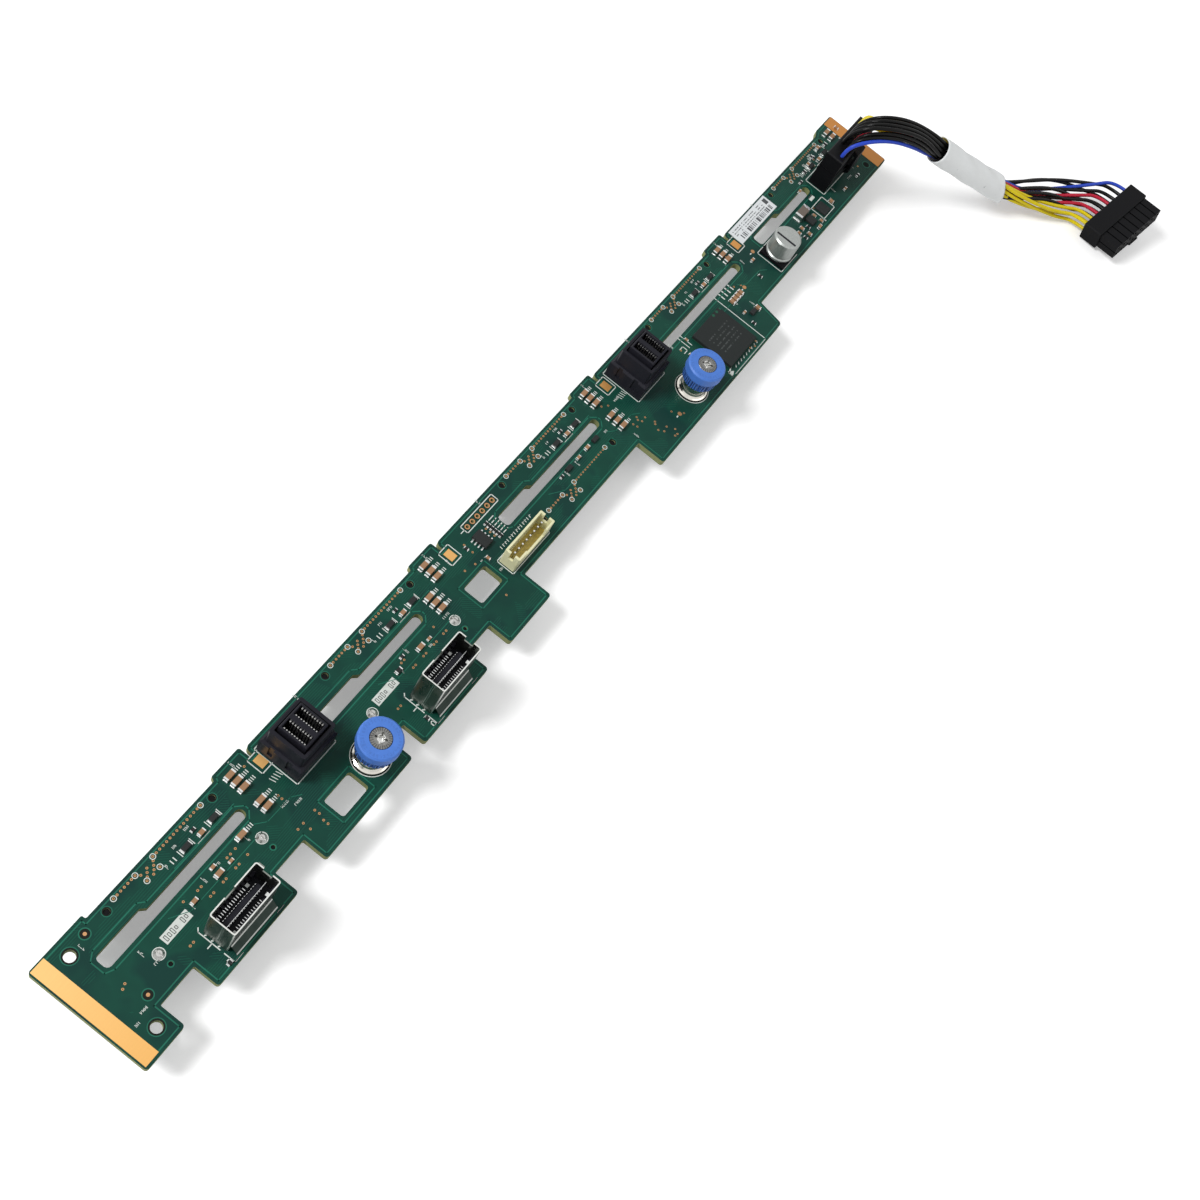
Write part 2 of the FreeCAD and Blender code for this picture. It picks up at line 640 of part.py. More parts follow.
# ---------------------------------------------------------------- parts soldered on top
def capacitor_base():
    """Square foot of the electrolytic capacitor, with two bevelled corners."""
    x, y = CAN_CENTRE
    half = 5.15
    cut = 1.7
    corners = [(x - half, y - half, 0.3), (x + half - cut, y - half, 0.2), (x + half, y - half + cut, 0.2)]
    corners += [(x + half, y + half - cut, 0.2), (x + half - cut, y + half, 0.2), (x - half, y + half, 0.3)]
    return plate(corners, 0, 1.0)


def capacitor_can():
    """Aluminium can with a rolled groove near its foot."""
    x, y = CAN_CENTRE
    groove = CAN_RADIUS - 0.45
    profile = [
        (0, 1.0),
        (CAN_RADIUS - 0.3, 1.0),
        (CAN_RADIUS, 1.3),
        (CAN_RADIUS, 2.0),
        (groove, 2.4),
        (groove, 2.7),
        (CAN_RADIUS, 3.1),
        (CAN_RADIUS, CAN_HEIGHT - 0.5),
        (CAN_RADIUS - 0.5, CAN_HEIGHT),
        (0, CAN_HEIGHT),
    ]
    return turned(x, y, profile)


LOGIC_CHIP = (263.0, -29.4, 280.2, -12.8)


def logic_chip():
    """Large square package: thin substrate with a moulded body on it."""
    x0, y0, x1, y1 = LOGIC_CHIP
    body = block(x0, y0, 0.35, x1, y1, 1.75)
    rim = [e for e in body.Edges if e.BoundBox.ZMin > 1.7]
    return body.makeChamfer(0.2, rim).fuse(block(x0, y0, 0, x1, y1, 0.35)).removeSplitter()


# Moulded packages: centre x, centre y, length, width, height
PACKAGES = (
    (150.25, -6.5, 3.6, 5.4, 1.45),
    (350.55, -17.0, 4.4, 4.6, 1.0),
    (342.0, -16.7, 3.1, 3.6, 1.1),
    (289.5, -22.7, 2.8, 1.6, 1.1),
)
SO8_PINS = 4


def chip_packages():
    """Moulded bodies of the small ICs, and the small ones that every bay repeats."""
    bodies = []
    for x, y, length, width, height in PACKAGES:
        body = block(x - length / 2, y - width / 2, 0.1, x + length / 2, y + width / 2, height)
        rim = [e for e in body.Edges if e.BoundBox.ZMin > height - 0.05]
        bodies.append(body.makeChamfer(0.15, rim))
    small = [(bay * BAY_PITCH + 24.5, -3.4) for bay in range(BAY_COUNT)]
    small += [(bay * BAY_PITCH + 34.8, -3.5) for bay in range(BAY_COUNT)]
    small += [(190.0, -11.5), (205.0, -11.5)]
    for x, y in small:
        bodies.append(block(x - 1.3, y - 0.7, 0.05, x + 1.3, y + 0.7, 1.0))
    return bodies


def chip_leads():
    """Gull wing leads of the eight-lead chip."""
    x, y, length, width, height = PACKAGES[0]
    leads = []
    for side in (-1, 1):
        for pin in range(SO8_PINS):
            lead_y = y + CONTACT_PITCH * (pin - 1.5)
            near = x + side * length / 2
            points = [V(near, 0, 0.75), V(near + side * 0.45, 0, 0.75), V(near + side * 0.6, 0, 0.15)]
            points += [V(near + side * 1.1, 0, 0.15), V(near + side * 1.1, 0, 0), V(near + side * 0.45, 0, 0)]
            points += [V(near + side * 0.3, 0, 0.6), V(near, 0, 0.6)]
            lead = Part.Face(Part.makePolygon(points + [points[0]])).extrude(V(0, 0.42, 0))
            lead.translate(V(0, lead_y - 0.21, 0))
            leads.append(lead)
    return leads


# Rows of chip capacitors: x and the y of each; all lie along X
CHIP_ROWS = (
    (46.0, (0.8, -1.6, -4.0, -9.5, -11.9)),
    (35.7, (-11.9,)),
    (130.8, (0.9, -1.6, -4.0)),
    (123.8, (-6.4, -8.8, -11.2)),
    (216.0, (0.8, -1.6, -4.0, -10.2, -12.8, -15.3)),
    (301.0, (0.8, -1.6, -4.0)),
    (383.5, (0.8, -1.8)),
)
INDUCTORS = ((341.1, -12.6, 7.6, 3.2, 2.6),)
CHIP_LENGTH = 4.0
CHIP_WIDTH = 1.6
CHIP_HEIGHT = 1.5


def ceramic_chips():
    """Chip capacitors and the inductor beside the power inlet."""
    bodies = []
    for x, rows in CHIP_ROWS:
        for y in rows:
            bodies.append(block(
                x - CHIP_LENGTH / 2, y - CHIP_WIDTH / 2, 0, x + CHIP_LENGTH / 2, y + CHIP_WIDTH / 2, CHIP_HEIGHT,
            ))
    for x, y, length, width, height in INDUCTORS:
        bodies.append(block(x - length / 2, y - width / 2, 0, x + length / 2, y + width / 2, height))
    return bodies


def label_sticker():
    """Paper label near the cable end."""
    return block(312.0, -4.2, 0, 337.2, 2.3, 0.1)


# ---------------------------------------------------------------- power harness
# Stations of the bundle: centre x, y, z, direction across it in degrees, share of the way
# from the plug's spacing (0) through the tied bundle (1) to the far connector's (2), twist.
STATIONS = (
    (371.4, -9.85, 15.8, 0, 0.0, 0),
    (371.4, -9.85, 20.0, 0, 0.0, 0),
    (372.4, -13.9, 25.2, 0, 0.08, 0),
    (378.2, -20.6, 26.8, 20, 0.5, 0),
    (386.4, -28.0, 22.8, 40, 0.92, 0),
    (395.0, -36.2, 16.9, 45, 1.0, 25),
    (408.2, -49.4, 7.5, 44, 1.0, 80),
    (421.6, -63.4, -0.9, 43, 1.0, 135),
    (431.6, -72.8, -4.6, 40, 1.16, 165),
    (442.0, -81.4, -5.8, 18, 1.46, 184),
    (452.2, -91.0, -5.6, -13, 1.92, 194),
)
EMPTY_CIRCUITS = ((0, 0), (1, 0))


def far_rotation():
    """Turn of the harness connector, which lies on its lower rear corner."""
    yaw = FreeCAD.Rotation(V(0, 0, 1), FAR_YAW)
    nose = FreeCAD.Rotation(V(1, 0, 0), -FAR_NOSE_UP)
    roll = FreeCAD.Rotation(V(0, 1, 0), -FAR_ROLL_UP)
    return yaw * nose * roll


def to_far(point):
    """Point of the connector's own frame in board coordinates."""
    return far_rotation().multVec(point) + V(*FAR_CORNER)


def lane(column, row, share):
    """Offset of a wire across and up the bundle, from spread to tied to spread again."""
    up = 1 if row == 0 else -1
    plug = ((column - 3.5) * POWER_PITCH, up * POWER_PITCH / 2)
    tied_up = (1.5 if column % 2 == 0 else 0.5) * up
    tied = ((column // 2 - 1.5) * BUNDLE_PITCH, tied_up * BUNDLE_PITCH)
    far = ((column - 3.5) * FAR_PITCH, up * FAR_PITCH / 2)
    start, end = (plug, tied) if share <= 1 else (tied, far)
    part = share if share <= 1 else share - 1
    return tuple(a + (b - a) * part for a, b in zip(start, end))


def station_axes(index):
    """Directions across and up the bundle at a station."""
    angle = math.radians(STATIONS[index][3])
    across = V(math.cos(angle), math.sin(angle), 0)
    if index < 2:
        return across, V(0, 1, 0)
    centres = [V(*station[:3]) for station in STATIONS]
    centres.append(to_far(V(FAR_LENGTH / 2, 0, FAR_HEIGHT / 2)))
    up = (centres[index + 1] - centres[index - 1]).cross(across)
    up.normalize()
    return across, up


def far_hole(column, row):
    """Where a wire enters the connector's rear face; the bundle arrives turned over."""
    x = FAR_LENGTH / 2 - (column - 3.5) * FAR_PITCH
    z = FAR_HEIGHT / 2 - (FAR_PITCH / 2 if row == 0 else -FAR_PITCH / 2)
    return V(x, 0, z)


def wire_route(column, row):
    """Corners of one wire's route, from the plug to the harness connector."""
    points = []
    for index, station in enumerate(STATIONS):
        across, up = station_axes(index)
        a, b = lane(column, row, station[4])
        twist = math.radians(station[5])
        right = a * math.cos(twist) - b * math.sin(twist)
        rise = a * math.sin(twist) + b * math.cos(twist)
        points.append(V(*station[:3]) + across * right + up * rise)
    hole = far_hole(column, row)
    points.append(to_far(hole + V(0, FAR_STRAIGHT, 0)))
    points.append(to_far(hole))
    return points


def tube(points, radius):
    """Round tube along straight runs joined by tangent arcs; also its length and least radius."""
    edges = []
    last = points[0]
    least = 1e9
    length = 0.0
    for index in range(1, len(points) - 1):
        here = points[index]
        back = points[index - 1] - here
        ahead = points[index + 1] - here
        short = min(back.Length, ahead.Length)
        back.normalize()
        ahead.normalize()
        half_turn = (math.pi - back.getAngle(ahead)) / 2
        reach = 0.45 * short
        bend = reach / math.tan(half_turn)
        least = min(least, bend)
        start = here + back * reach
        end = here + ahead * reach
        inward = back + ahead
        inward.normalize()
        middle = here + inward * (bend / math.cos(half_turn) - bend)
        line = Part.LineSegment(last, start).toShape()
        arc = Part.Arc(start, middle, end).toShape()
        edges += [line, arc]
        length += line.Length + arc.Length
        last = end
    line = Part.LineSegment(last, points[-1]).toShape()
    edges.append(line)
    length += line.Length
    path = Part.Wire(edges)
    heading = points[1] - points[0]
    circle = Part.Wire([Part.makeCircle(radius, points[0], heading)])
    return path.makePipeShell([circle], True, False), length, least


WIRE_NAMES = {(0, 1): "blue", (6, 0): "yellow_a", (6, 1): "yellow_b", (7, 0): "yellow_c", (7, 1): "yellow_d"}
WIRE_NAMES.update({(3, 1): "red_a", (5, 1): "red_b"})


def harness_wires():
    """Every wire of the harness as its own node, with its length and tightest bend printed."""
    black = 0
    section = math.pi * (WIRE_DIAMETER / 2) ** 2
    for column in range(8):
        for row in (0, 1):
            if (column, row) in EMPTY_CIRCUITS:
                continue
            name = WIRE_NAMES.get((column, row))
            if name is None:
                black += 1
                name = f"black_{black}"
            solid, length, least = tube(wire_route(column, row), WIRE_DIAMETER / 2)
            save(f"wire_{name}", solid)
            ratio = solid.Volume / (section * length)
            print(f"wire_{name}: length {length:.1f} mm, least radius {least:.1f} mm, volume ratio {ratio:.3f}")


SLEEVE_BORE = 4.6
SLEEVE_WALL = 0.35
SLEEVE_STATIONS = (5, 6, 7)


def wire_sleeve():
    """White tube that ties the wires together half way along."""
    centres = [V(*STATIONS[index][:3]) for index in SLEEVE_STATIONS]
    outer, _, _ = tube(centres, SLEEVE_BORE + SLEEVE_WALL)
    start = centres[0] - (centres[1] - centres[0]) * 0.2
    end = centres[-1] + (centres[-1] - centres[-2]) * 0.2
    inner, _, _ = tube([start] + centres[1:-1] + [end], SLEEVE_BORE)
    return outer.cut(inner)


def far_connector():
    """Harness connector: solid rear bar, two rows of square silos and a lever latch below."""
    bar = block(0, 0, 0, FAR_LENGTH, -FAR_BAR_DEPTH, FAR_HEIGHT)
    rim = [e for e in bar.Edges if e.Length > 5]
    body = bar.makeChamfer(0.3, rim)
    side = 3.0
    for column in range(FAR_COLUMNS):
        x = FAR_LENGTH / 2 + (column - 3.5) * FAR_PITCH
        for level in (-1, 1):
            z = FAR_HEIGHT / 2 + level * FAR_PITCH / 2
            silo = block(x - side / 2, -FAR_BAR_DEPTH, z - side / 2, x + side / 2, -FAR_DEPTH, z + side / 2)
            bore = block(x - 0.85, -FAR_DEPTH + 6.5, z - 0.85, x + 0.85, -FAR_DEPTH - 1, z + 0.85)
            body = body.fuse(silo.cut(bore))
    middle = FAR_LENGTH / 2
    lever = [V(middle - 2.4, -1.6, 0), V(middle - 2.4, -2.6, -1.1), V(middle - 2.4, -FAR_DEPTH + 1, -1.3)]
    lever += [V(middle - 2.4, -FAR_DEPTH - 0.3, -0.5), V(middle - 2.4, -FAR_DEPTH - 0.3, 0.3)]
    lever += [V(middle - 2.4, -FAR_DEPTH + 2.4, -0.4), V(middle - 2.4, -FAR_BAR_DEPTH + 1.2, -0.4)]
    lever += [V(middle - 2.4, -FAR_BAR_DEPTH + 2.2, 0)]
    latch = Part.Face(Part.makePolygon(lever + [lever[0]])).extrude(V(4.8, 0, 0))
    body = body.fuse(latch).removeSplitter()
    body.Placement = FreeCAD.Placement(V(*FAR_CORNER), far_rotation())
    return body


def far_terminals():
    """Crimped sockets in the silos of the harness connector."""
    sockets = []
    for column in range(FAR_COLUMNS):
        for level in (-1, 1):
            x = FAR_LENGTH / 2 + (column - 3.5) * FAR_PITCH
            z = FAR_HEIGHT / 2 + level * FAR_PITCH / 2
            socket = block(x - 0.65, -FAR_DEPTH + 6.5, z - 0.65, x + 0.65, -FAR_DEPTH + 1.4, z + 0.65)
            socket.Placement = FreeCAD.Placement(V(*FAR_CORNER), far_rotation())
            sockets.append(socket)
    return sockets


# ---------------------------------------------------------------- the whole part
def main():
    os.makedirs("parts", exist_ok=True)
    save("circuit_board", circuit_board())
    save("gold_lands", gold_lands())

    upper, middle, locked = peg_places()
    names = ["upper_a", "upper_b", "upper_c", "upper_d", "upper_e", "lower_c", "lower_a", "lower_b"]
    contacts = []
    for name, (x, y) in zip(names, upper + middle):
        centre_y = y - 1.0 if name.startswith("upper") else y - 1.6
        save(f"drive_connector_{name}", drive_connector(x, y, centre_y, PEG_RADIUS))
        contacts += drive_contacts(x, centre_y, 7)
    for name, (x, y) in zip(names[len(upper + middle):], locked):
        centre_y = y - 1.6
        body = drive_connector(x, y - LOCK_PEG_DROP, centre_y, SMALL_PEG_RADIUS)
        save(f"drive_connector_{name}", body)
        contacts += drive_contacts(x, centre_y, 30)
    save("drive_connector_contacts", contacts)
    locks = [board_lock(x + span, y) for x, y in locked for span in (0, PEG_SPAN)]
    save("board_locks", locks)

    strips = []
    for number, (x, y) in enumerate(CAGE_PLACES, start=1):
        save(f"cable_cage_{number}", cable_cage(x, y))
        save(f"cage_insert_{number}", cage_insert(x, y))
        strips += cage_contacts(x, y)
    save("cage_contacts", strips)

    pins = []
    for number, left in enumerate(DUAL_SLOT_LEFT, start=1):
        save(f"dual_slot_housing_{number}", dual_slot_housing(left))
        pins += dual_slot_contacts(left)
    save("dual_slot_contacts", pins)

    save("sideband_header", sideband_header())
    save("sideband_pins", sideband_pins())
    save("power_header", power_header())
    save("power_pins", power_pins())
    save("power_plug", power_plug())

    for number, (x, y) in enumerate(SCREW_CENTRES, start=1):
        save(f"screw_ferrule_{number}", ferrule(x, y))
        save(f"thumb_knob_{number}", thumb_knob(x, y))
        save(f"captive_screw_{number}", captive_screw(x, y))
        save(f"lift_spring_{number}", lift_spring(x, y))

    save("capacitor_base", capacitor_base())
    save("capacitor_can", capacitor_can())
    save("logic_chip", logic_chip())
    save("chip_packages", chip_packages())
    save("chip_leads", chip_leads())
    save("ceramic_chips", ceramic_chips())
    save("label_sticker", label_sticker())

    harness_wires()
    save("wire_sleeve", wire_sleeve())
    save("far_connector", far_connector())
    save("far_terminals", far_terminals())


main()
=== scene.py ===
"""Drive backplane board: finishes, printing, small soldered parts and the power harness.

Places on the board are in millimetres from the first connector peg, with z = 0 on its upper
face, and at() turns them into the frame's metres.
"""
import math
import random

import bpy
from bpy.props import FloatProperty, FloatVectorProperty, IntProperty, PointerProperty
from mathutils import Euler, Matrix, Vector


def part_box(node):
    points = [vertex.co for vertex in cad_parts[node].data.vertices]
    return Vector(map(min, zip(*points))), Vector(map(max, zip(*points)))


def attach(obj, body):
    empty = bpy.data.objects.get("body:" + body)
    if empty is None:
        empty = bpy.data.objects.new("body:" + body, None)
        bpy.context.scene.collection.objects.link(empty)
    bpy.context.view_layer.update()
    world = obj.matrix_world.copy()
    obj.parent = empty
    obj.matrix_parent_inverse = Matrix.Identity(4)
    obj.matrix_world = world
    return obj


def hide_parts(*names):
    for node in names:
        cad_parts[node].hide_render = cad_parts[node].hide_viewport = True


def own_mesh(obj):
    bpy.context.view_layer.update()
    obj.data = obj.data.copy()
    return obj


bl_info = {
    "name": "Drive backplane board",
    "version": (1, 0, 0),
    "blender": (4, 5, 0),
    "location": "3D View > Sidebar > Backplane",
    "description": "Finishes, printing, small parts and harness of a drive backplane board",
    "category": "Object",
}

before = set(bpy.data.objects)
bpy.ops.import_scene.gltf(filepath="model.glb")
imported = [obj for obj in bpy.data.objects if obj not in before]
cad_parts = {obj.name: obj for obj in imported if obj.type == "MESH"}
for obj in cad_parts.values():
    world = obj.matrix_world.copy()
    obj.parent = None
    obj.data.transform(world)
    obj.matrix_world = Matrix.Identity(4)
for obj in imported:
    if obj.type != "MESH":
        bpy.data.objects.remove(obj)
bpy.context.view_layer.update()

MM = 0.001
BOARD_LOW, BOARD_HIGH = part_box("circuit_board")
BOARD_LEFT = -22.6
BOARD_RIGHT = 393.1
DEEP_EDGE = -32.7
END_TOP = 4.2
RAIL_TOP = 2.9
NOTCH_EDGE = -24.8
SHALLOW_EDGE = -22.65
THICKNESS = 2.4
BAY_PITCH = 85.0
BAYS = 5
MARK = 0.03                 # how far printing and pads stand off the board
SUNK = -0.01                # and how far they reach into it
BODY = "board"

# Places of the larger parts, and the steps between like ones
SOCKET_LEFT, SOCKET_STEP = 10.65, 85.2
SCREW_X, SCREW_Y, SCREW_STEP = 75.1, -23.85, 171.2
PEG_STEP = 38.7
CAPACITOR_X = 318.9
CHIP_TOP = 1.6
CAGE_RIM = 16.38


def at(x, y, z=0.0):
    """A place on the board, in the frame's metres."""
    return Vector((
        BOARD_LOW[0] + (x - BOARD_LEFT) * MM,
        BOARD_LOW[1] + (y - DEEP_EDGE) * MM,
        BOARD_HIGH[2] + z * MM,
    ))


def new_object(name, data):
    """A new object in the scene."""
    item = bpy.data.objects.new(name, data)
    bpy.context.scene.collection.objects.link(item)
    return item


def made_real(holder):
    """What an object comes to, as a plain mesh."""
    bpy.context.view_layer.update()
    graph = bpy.context.evaluated_depsgraph_get()
    return bpy.data.meshes.new_from_object(holder.evaluated_get(graph))


def chosen(name):
    """One of the user's colours."""
    return tuple(getattr(bpy.context.scene.backplane_colours, name))


def setting(name):
    """One of the user's sizes, in millimetres."""
    return getattr(bpy.context.scene.backplane_sizes, name) / MM


def seed():
    """Seed of everything scattered."""
    return bpy.context.scene.backplane_sizes.seed


def darker(colour, share):
    """A colour times a share."""
    return tuple(channel * share for channel in colour)


# ---------------------------------------------------------------- shader maths
class Value:
    """A shader socket; Python's operators on it add Math nodes."""

    def __init__(self, finish, socket):
        self.finish = finish
        self.socket = socket

    def maths(self, operation, other=0.0):
        sockets = {0: self, 1: other}
        return self.finish.value("ShaderNodeMath", {"operation": operation}, sockets)

    def __rsub__(self, other):
        return self * -1.0 + other

    def part(self):
        """Fraction left above the whole number."""
        return self.maths("FRACT")

    def between(self, low, high):
        """1 from low to high, else 0."""
        return (self > low) * (self < high)


VALUE_OPERATORS = {"add": "ADD", "radd": "ADD", "mul": "MULTIPLY", "rmul": "MULTIPLY",
                   "sub": "SUBTRACT", "truediv": "DIVIDE", "gt": "GREATER_THAN", "lt": "LESS_THAN"}


def maths_method(operation):
    """A method that joins a value to another with one Math node."""
    return lambda self, other: self.maths(operation, other)


for method, operation in VALUE_OPERATORS.items():
    setattr(Value, f"__{method}__", maths_method(operation))


def add_node(tree, kind, settings=None, sockets=None):
    """A node, with its settings and the values or links of its sockets."""
    node = tree.nodes.new(kind)
    for key, value in (settings or {}).items():
        setattr(node, key, value)
    for key, value in (sockets or {}).items():
        source = value.socket if isinstance(value, Value) else value
        if isinstance(source, bpy.types.NodeSocket):
            tree.links.new(source, node.inputs[key])
        else:
            node.inputs[key].default_value = source
    return node


class Finish:
    """A procedural material under construction, on Object coordinates in board millimetres."""

    def __init__(self, name):
        self.material = bpy.data.materials.new(name)
        self.material.use_nodes = True
        self.tree = self.material.node_tree
        self.tree.nodes.clear()
        coordinates = add_node(self.tree, "ShaderNodeTexCoord")
        self.place = self.value("ShaderNodeMapping", {}, {
            "Vector": coordinates.outputs["Object"],
            "Location": [-v / MM for v in at(0, 0)],
            "Scale": (1 / MM,) * 3,
        })

    def value(self, kind, settings=None, sockets=None, output=0):
        """The output of one new node."""
        return Value(self, add_node(self.tree, kind, settings, sockets).outputs[output])

    def axes(self):
        """Board x, y and z of the surface, in millimetres."""
        node = add_node(self.tree, "ShaderNodeSeparateXYZ", {}, {0: self.place})
        return [Value(self, socket) for socket in node.outputs]

    def noise(self, size, detail=3.0, stretch=(1, 1, 1)):
        """Noise with lumps of a given size in millimetres."""
        scaled = self.value("ShaderNodeMapping", {}, {"Vector": self.place, "Scale": stretch})
        return self.value("ShaderNodeTexNoise", {}, {"Vector": scaled, "Scale": 1.0 / size, "Detail": detail})

    def mix(self, factor, first, second):
        """Colour between two colours."""
        first, second = (end if isinstance(end, Value) else (*end, 1.0) for end in (first, second))
        return self.value("ShaderNodeMix", {"data_type": "RGBA"}, {0: factor, 6: first, 7: second}, 2)

    def ramp(self, factor, stops):
        """Colour read from stops of (place, colour)."""
        node = add_node(self.tree, "ShaderNodeValToRGB", {}, {0: factor})
        elements = node.color_ramp.elements
        while len(elements) < len(stops):
            elements.new(0.5)
        for element, (place, colour) in zip(elements, stops):
            element.position = place
            element.color = (*colour, 1.0)
        return Value(self, node.outputs[0])

    def bump(self, height, distance):
        """Normal from a height, with its depth in millimetres."""
        return self.value("ShaderNodeBump", {}, {"Height": height, "Distance": distance * MM, "Strength": 1.0})

    def shade(self, colour, roughness, normal=None, **fixed):
        """Ends the material in its shader."""
        sockets = {"Roughness": roughness, "Base Color": colour}
        if normal is not None:
            sockets["Normal"] = normal
        sockets.update({name.replace("_", " "): value for name, value in fixed.items()})
        shader = add_node(self.tree, "ShaderNodeBsdfPrincipled", {}, sockets)
        add_node(self.tree, "ShaderNodeOutputMaterial", {}, {"Surface": shader.outputs[0]})
        return self.material


# ---------------------------------------------------------------- materials
def solder_mask(name):
    """Green mask with faint copper below it, and bare laminate on the cut edges."""
    f = Finish(name)
    x, y, z = f.axes()
    green = chosen("mask")
    light = chosen("mask_light")
    pour = f.ramp(f.noise(16, 2), [(0.42, green), (0.5, light), (0.62, darker(light, 0.85)), (0.7, green)])
    tone = f.noise(70, 1, (1, 2, 1))
    ground = f.mix(tone, darker(green, 0.8), pour)
    along = (y * 1.6 + f.noise(30, 0) * 3.0).part().between(0.0, 0.38)
    slanted = ((x + y) * 1.1).part().between(0.0, 0.36)
    routed = f.noise(13, 1, (0.6, 1.6, 1)) > 0.55
    other = f.noise(11, 1) > 0.6
    traces = either(along * routed, slanted * other * (1 - routed))
    face = f.mix(traces * 0.45, ground, darker(light, 1.35))
    side = z.between(-THICKNESS + 0.03, -0.03)
    weave = (z * 6.0 + f.noise(3, 2) * 0.8).part()
    edge = f.mix(weave, (0.30, 0.31, 0.15), (0.16, 0.19, 0.08))
    smudge = f.noise(9, 4)
    normal = f.bump(traces * 0.6 + f.noise(0.5, 2) * 0.25, 0.03)
    rough = 0.3 + smudge * 0.22 + side * 0.3
    return f.shade(f.mix(side, face, edge), rough, normal, Specular_IOR_Level=0.14)


def mottled(name, dark, light, patch, rough, ripple=None, grain=None, **fixed):
    """A finish mottled from one colour to another.

    patch, ripple and grain are the size and detail of the noises in its colour, roughness and
    height; the last two also say how much they add.
    """
    f = Finish(name)
    tone = f.mix(f.noise(*patch), dark, light)
    if ripple:
        rough = rough + f.noise(*ripple[:2]) * ripple[2]
    normal = f.bump(f.noise(*grain[:2]), grain[2]) if grain else None
    return f.shade(tone, rough, normal, **fixed)


def mask_line(name):
    """Green mask over a copper line, paler than the ground."""
    light = chosen("mask_light")
    return mottled(name, darker(light, 1.3), darker(light, 2.6), (14, 3), 0.32, (6, 3, 0.2),
                   Specular_IOR_Level=0.2)


def silk_print(name):
    """White ink, slightly worn."""
    silk = chosen("silk")
    return mottled(name, silk, darker(silk, 0.66), (1.2, 4), 0.6, grain=(0.2, 3, 0.01))


def gold_plate(name):
    """Gold plate, paler at the left end of the board and more orange towards the cable."""
    f = Finish(name)
    x, y, _ = f.axes()
    run = (x + 25.0) / 420.0
    # painted shade: the gold darkens towards the cable end, under the plug and wires
    colour = f.mix(run.maths("MINIMUM", 1.0), chosen("gold_pale"), chosen("gold_in_shade"))
    colour = f.mix(y * -0.02 * (x < 60.0), colour, (0.74, 0.37, 0.085))
    streaks = f.noise(2.0, 4, (0.3, 3, 1))
    colour = f.mix(streaks * 0.35, colour, (0.55, 0.30, 0.09))
    return f.shade(colour, 0.3 + streaks * 0.25, f.bump(streaks, 0.02), Metallic=0.55)


def either(*values):
    """1 where any of the values is."""
    result, *others = values
    for other in others:
        result = result.maths("MAXIMUM", other)
    return result


def both(x, first, step):
    """x from the first or the second of two like parts, whichever the surface belongs to."""
    return x - (x > first + step / 2) * step - first


def cage_metal(name):
    """Dark nickel of the socket cages, bright along its rims and folds."""
    f = Finish(name)
    x, y, z = f.axes()
    u = both(x, SOCKET_LEFT, SOCKET_STEP)
    v = y + 28.8
    # where the painted highlights go: the vertical corners, the fold lines, and the skirt's edge and fold
    corner = either(u < 0.4, u > 17.0) * v.between(-0.1, 0.4)
    folds = either(v.between(3.5, 3.8) * 0.7, (u - v * 0.8).between(-2.6, -2.4) * 0.5) * (u < 0.2)
    skirt = either(v < -2.1, z.between(3.1, 3.6) * (v < 0.05))
    bright = either(corner, z > CAGE_RIM, skirt * 0.6, folds) * 0.8
    smear = f.noise(2.5, 4, (1, 1, 0.4))
    wall = f.mix(smear, (0.13, 0.15, 0.13), (0.36, 0.38, 0.35))
    # painted shade, tinted by a painted reflection of the green board, for the cage's -Y side
    painted_shade_and_reflection = f.mix(smear, (0.012, 0.022, 0.018), (0.045, 0.06, 0.052))
    colour = f.mix(v < 0.1, wall, painted_shade_and_reflection)
    # painted highlights along the top rim, corners, skirt and folds
    colour = f.mix(bright, colour, (0.9, 0.91, 0.87))
    return f.shade(colour, 0.2 + smear * 0.2, f.bump(smear, 0.04), Metallic=1.0)


def metal(name, colour, roughness, lump=3.0, depth=0.03):
    """Bright metal with faint streaks and smudges."""
    return mottled(name, darker(colour, 0.72), colour, (lump, 5), roughness, (lump * 0.6, 3, 0.18),
                   (0.6, 3, depth), Metallic=1.0)


def plastic(name, colour, roughness, grain=0.35, depth=0.02, tint=0.8):
    """Moulded plastic with a fine grain."""
    return mottled(name, darker(colour, tint), colour, (6, 4), roughness, (2.5, 4, 0.16), (grain, 3, depth),
                   Specular_IOR_Level=0.1)


def screw_axes(f):
    """Distance from the middle of a thumbscrew, angle round it, and height."""
    x, y, z = f.axes()
    across = both(x, SCREW_X, SCREW_STEP)
    along = y - SCREW_Y
    radius = (across * across + along * along).maths("SQRT")
    return radius, along.maths("ARCTAN2", across), z


def cream_nylon(name):
    """Cream plastic, deeper in colour down inside the header."""
    f = Finish(name)
    x, y, z = f.axes()
    inside = x.between(149.3, 166.0) * y.between(-18.9, -15.2) * (z < 6.8)
    pale = f.mix(f.noise(5), (0.60, 0.58, 0.34), (0.78, 0.76, 0.50))
    # painted shade inside the header, darker lower down
    painted_shade_inside = f.mix((z * 0.16), (0.42, 0.30, 0.04), (0.66, 0.54, 0.18))
    return f.shade(f.mix(inside, pale, painted_shade_inside), 0.42 + f.noise(2) * 0.15, f.bump(f.noise(0.6), 0.02))


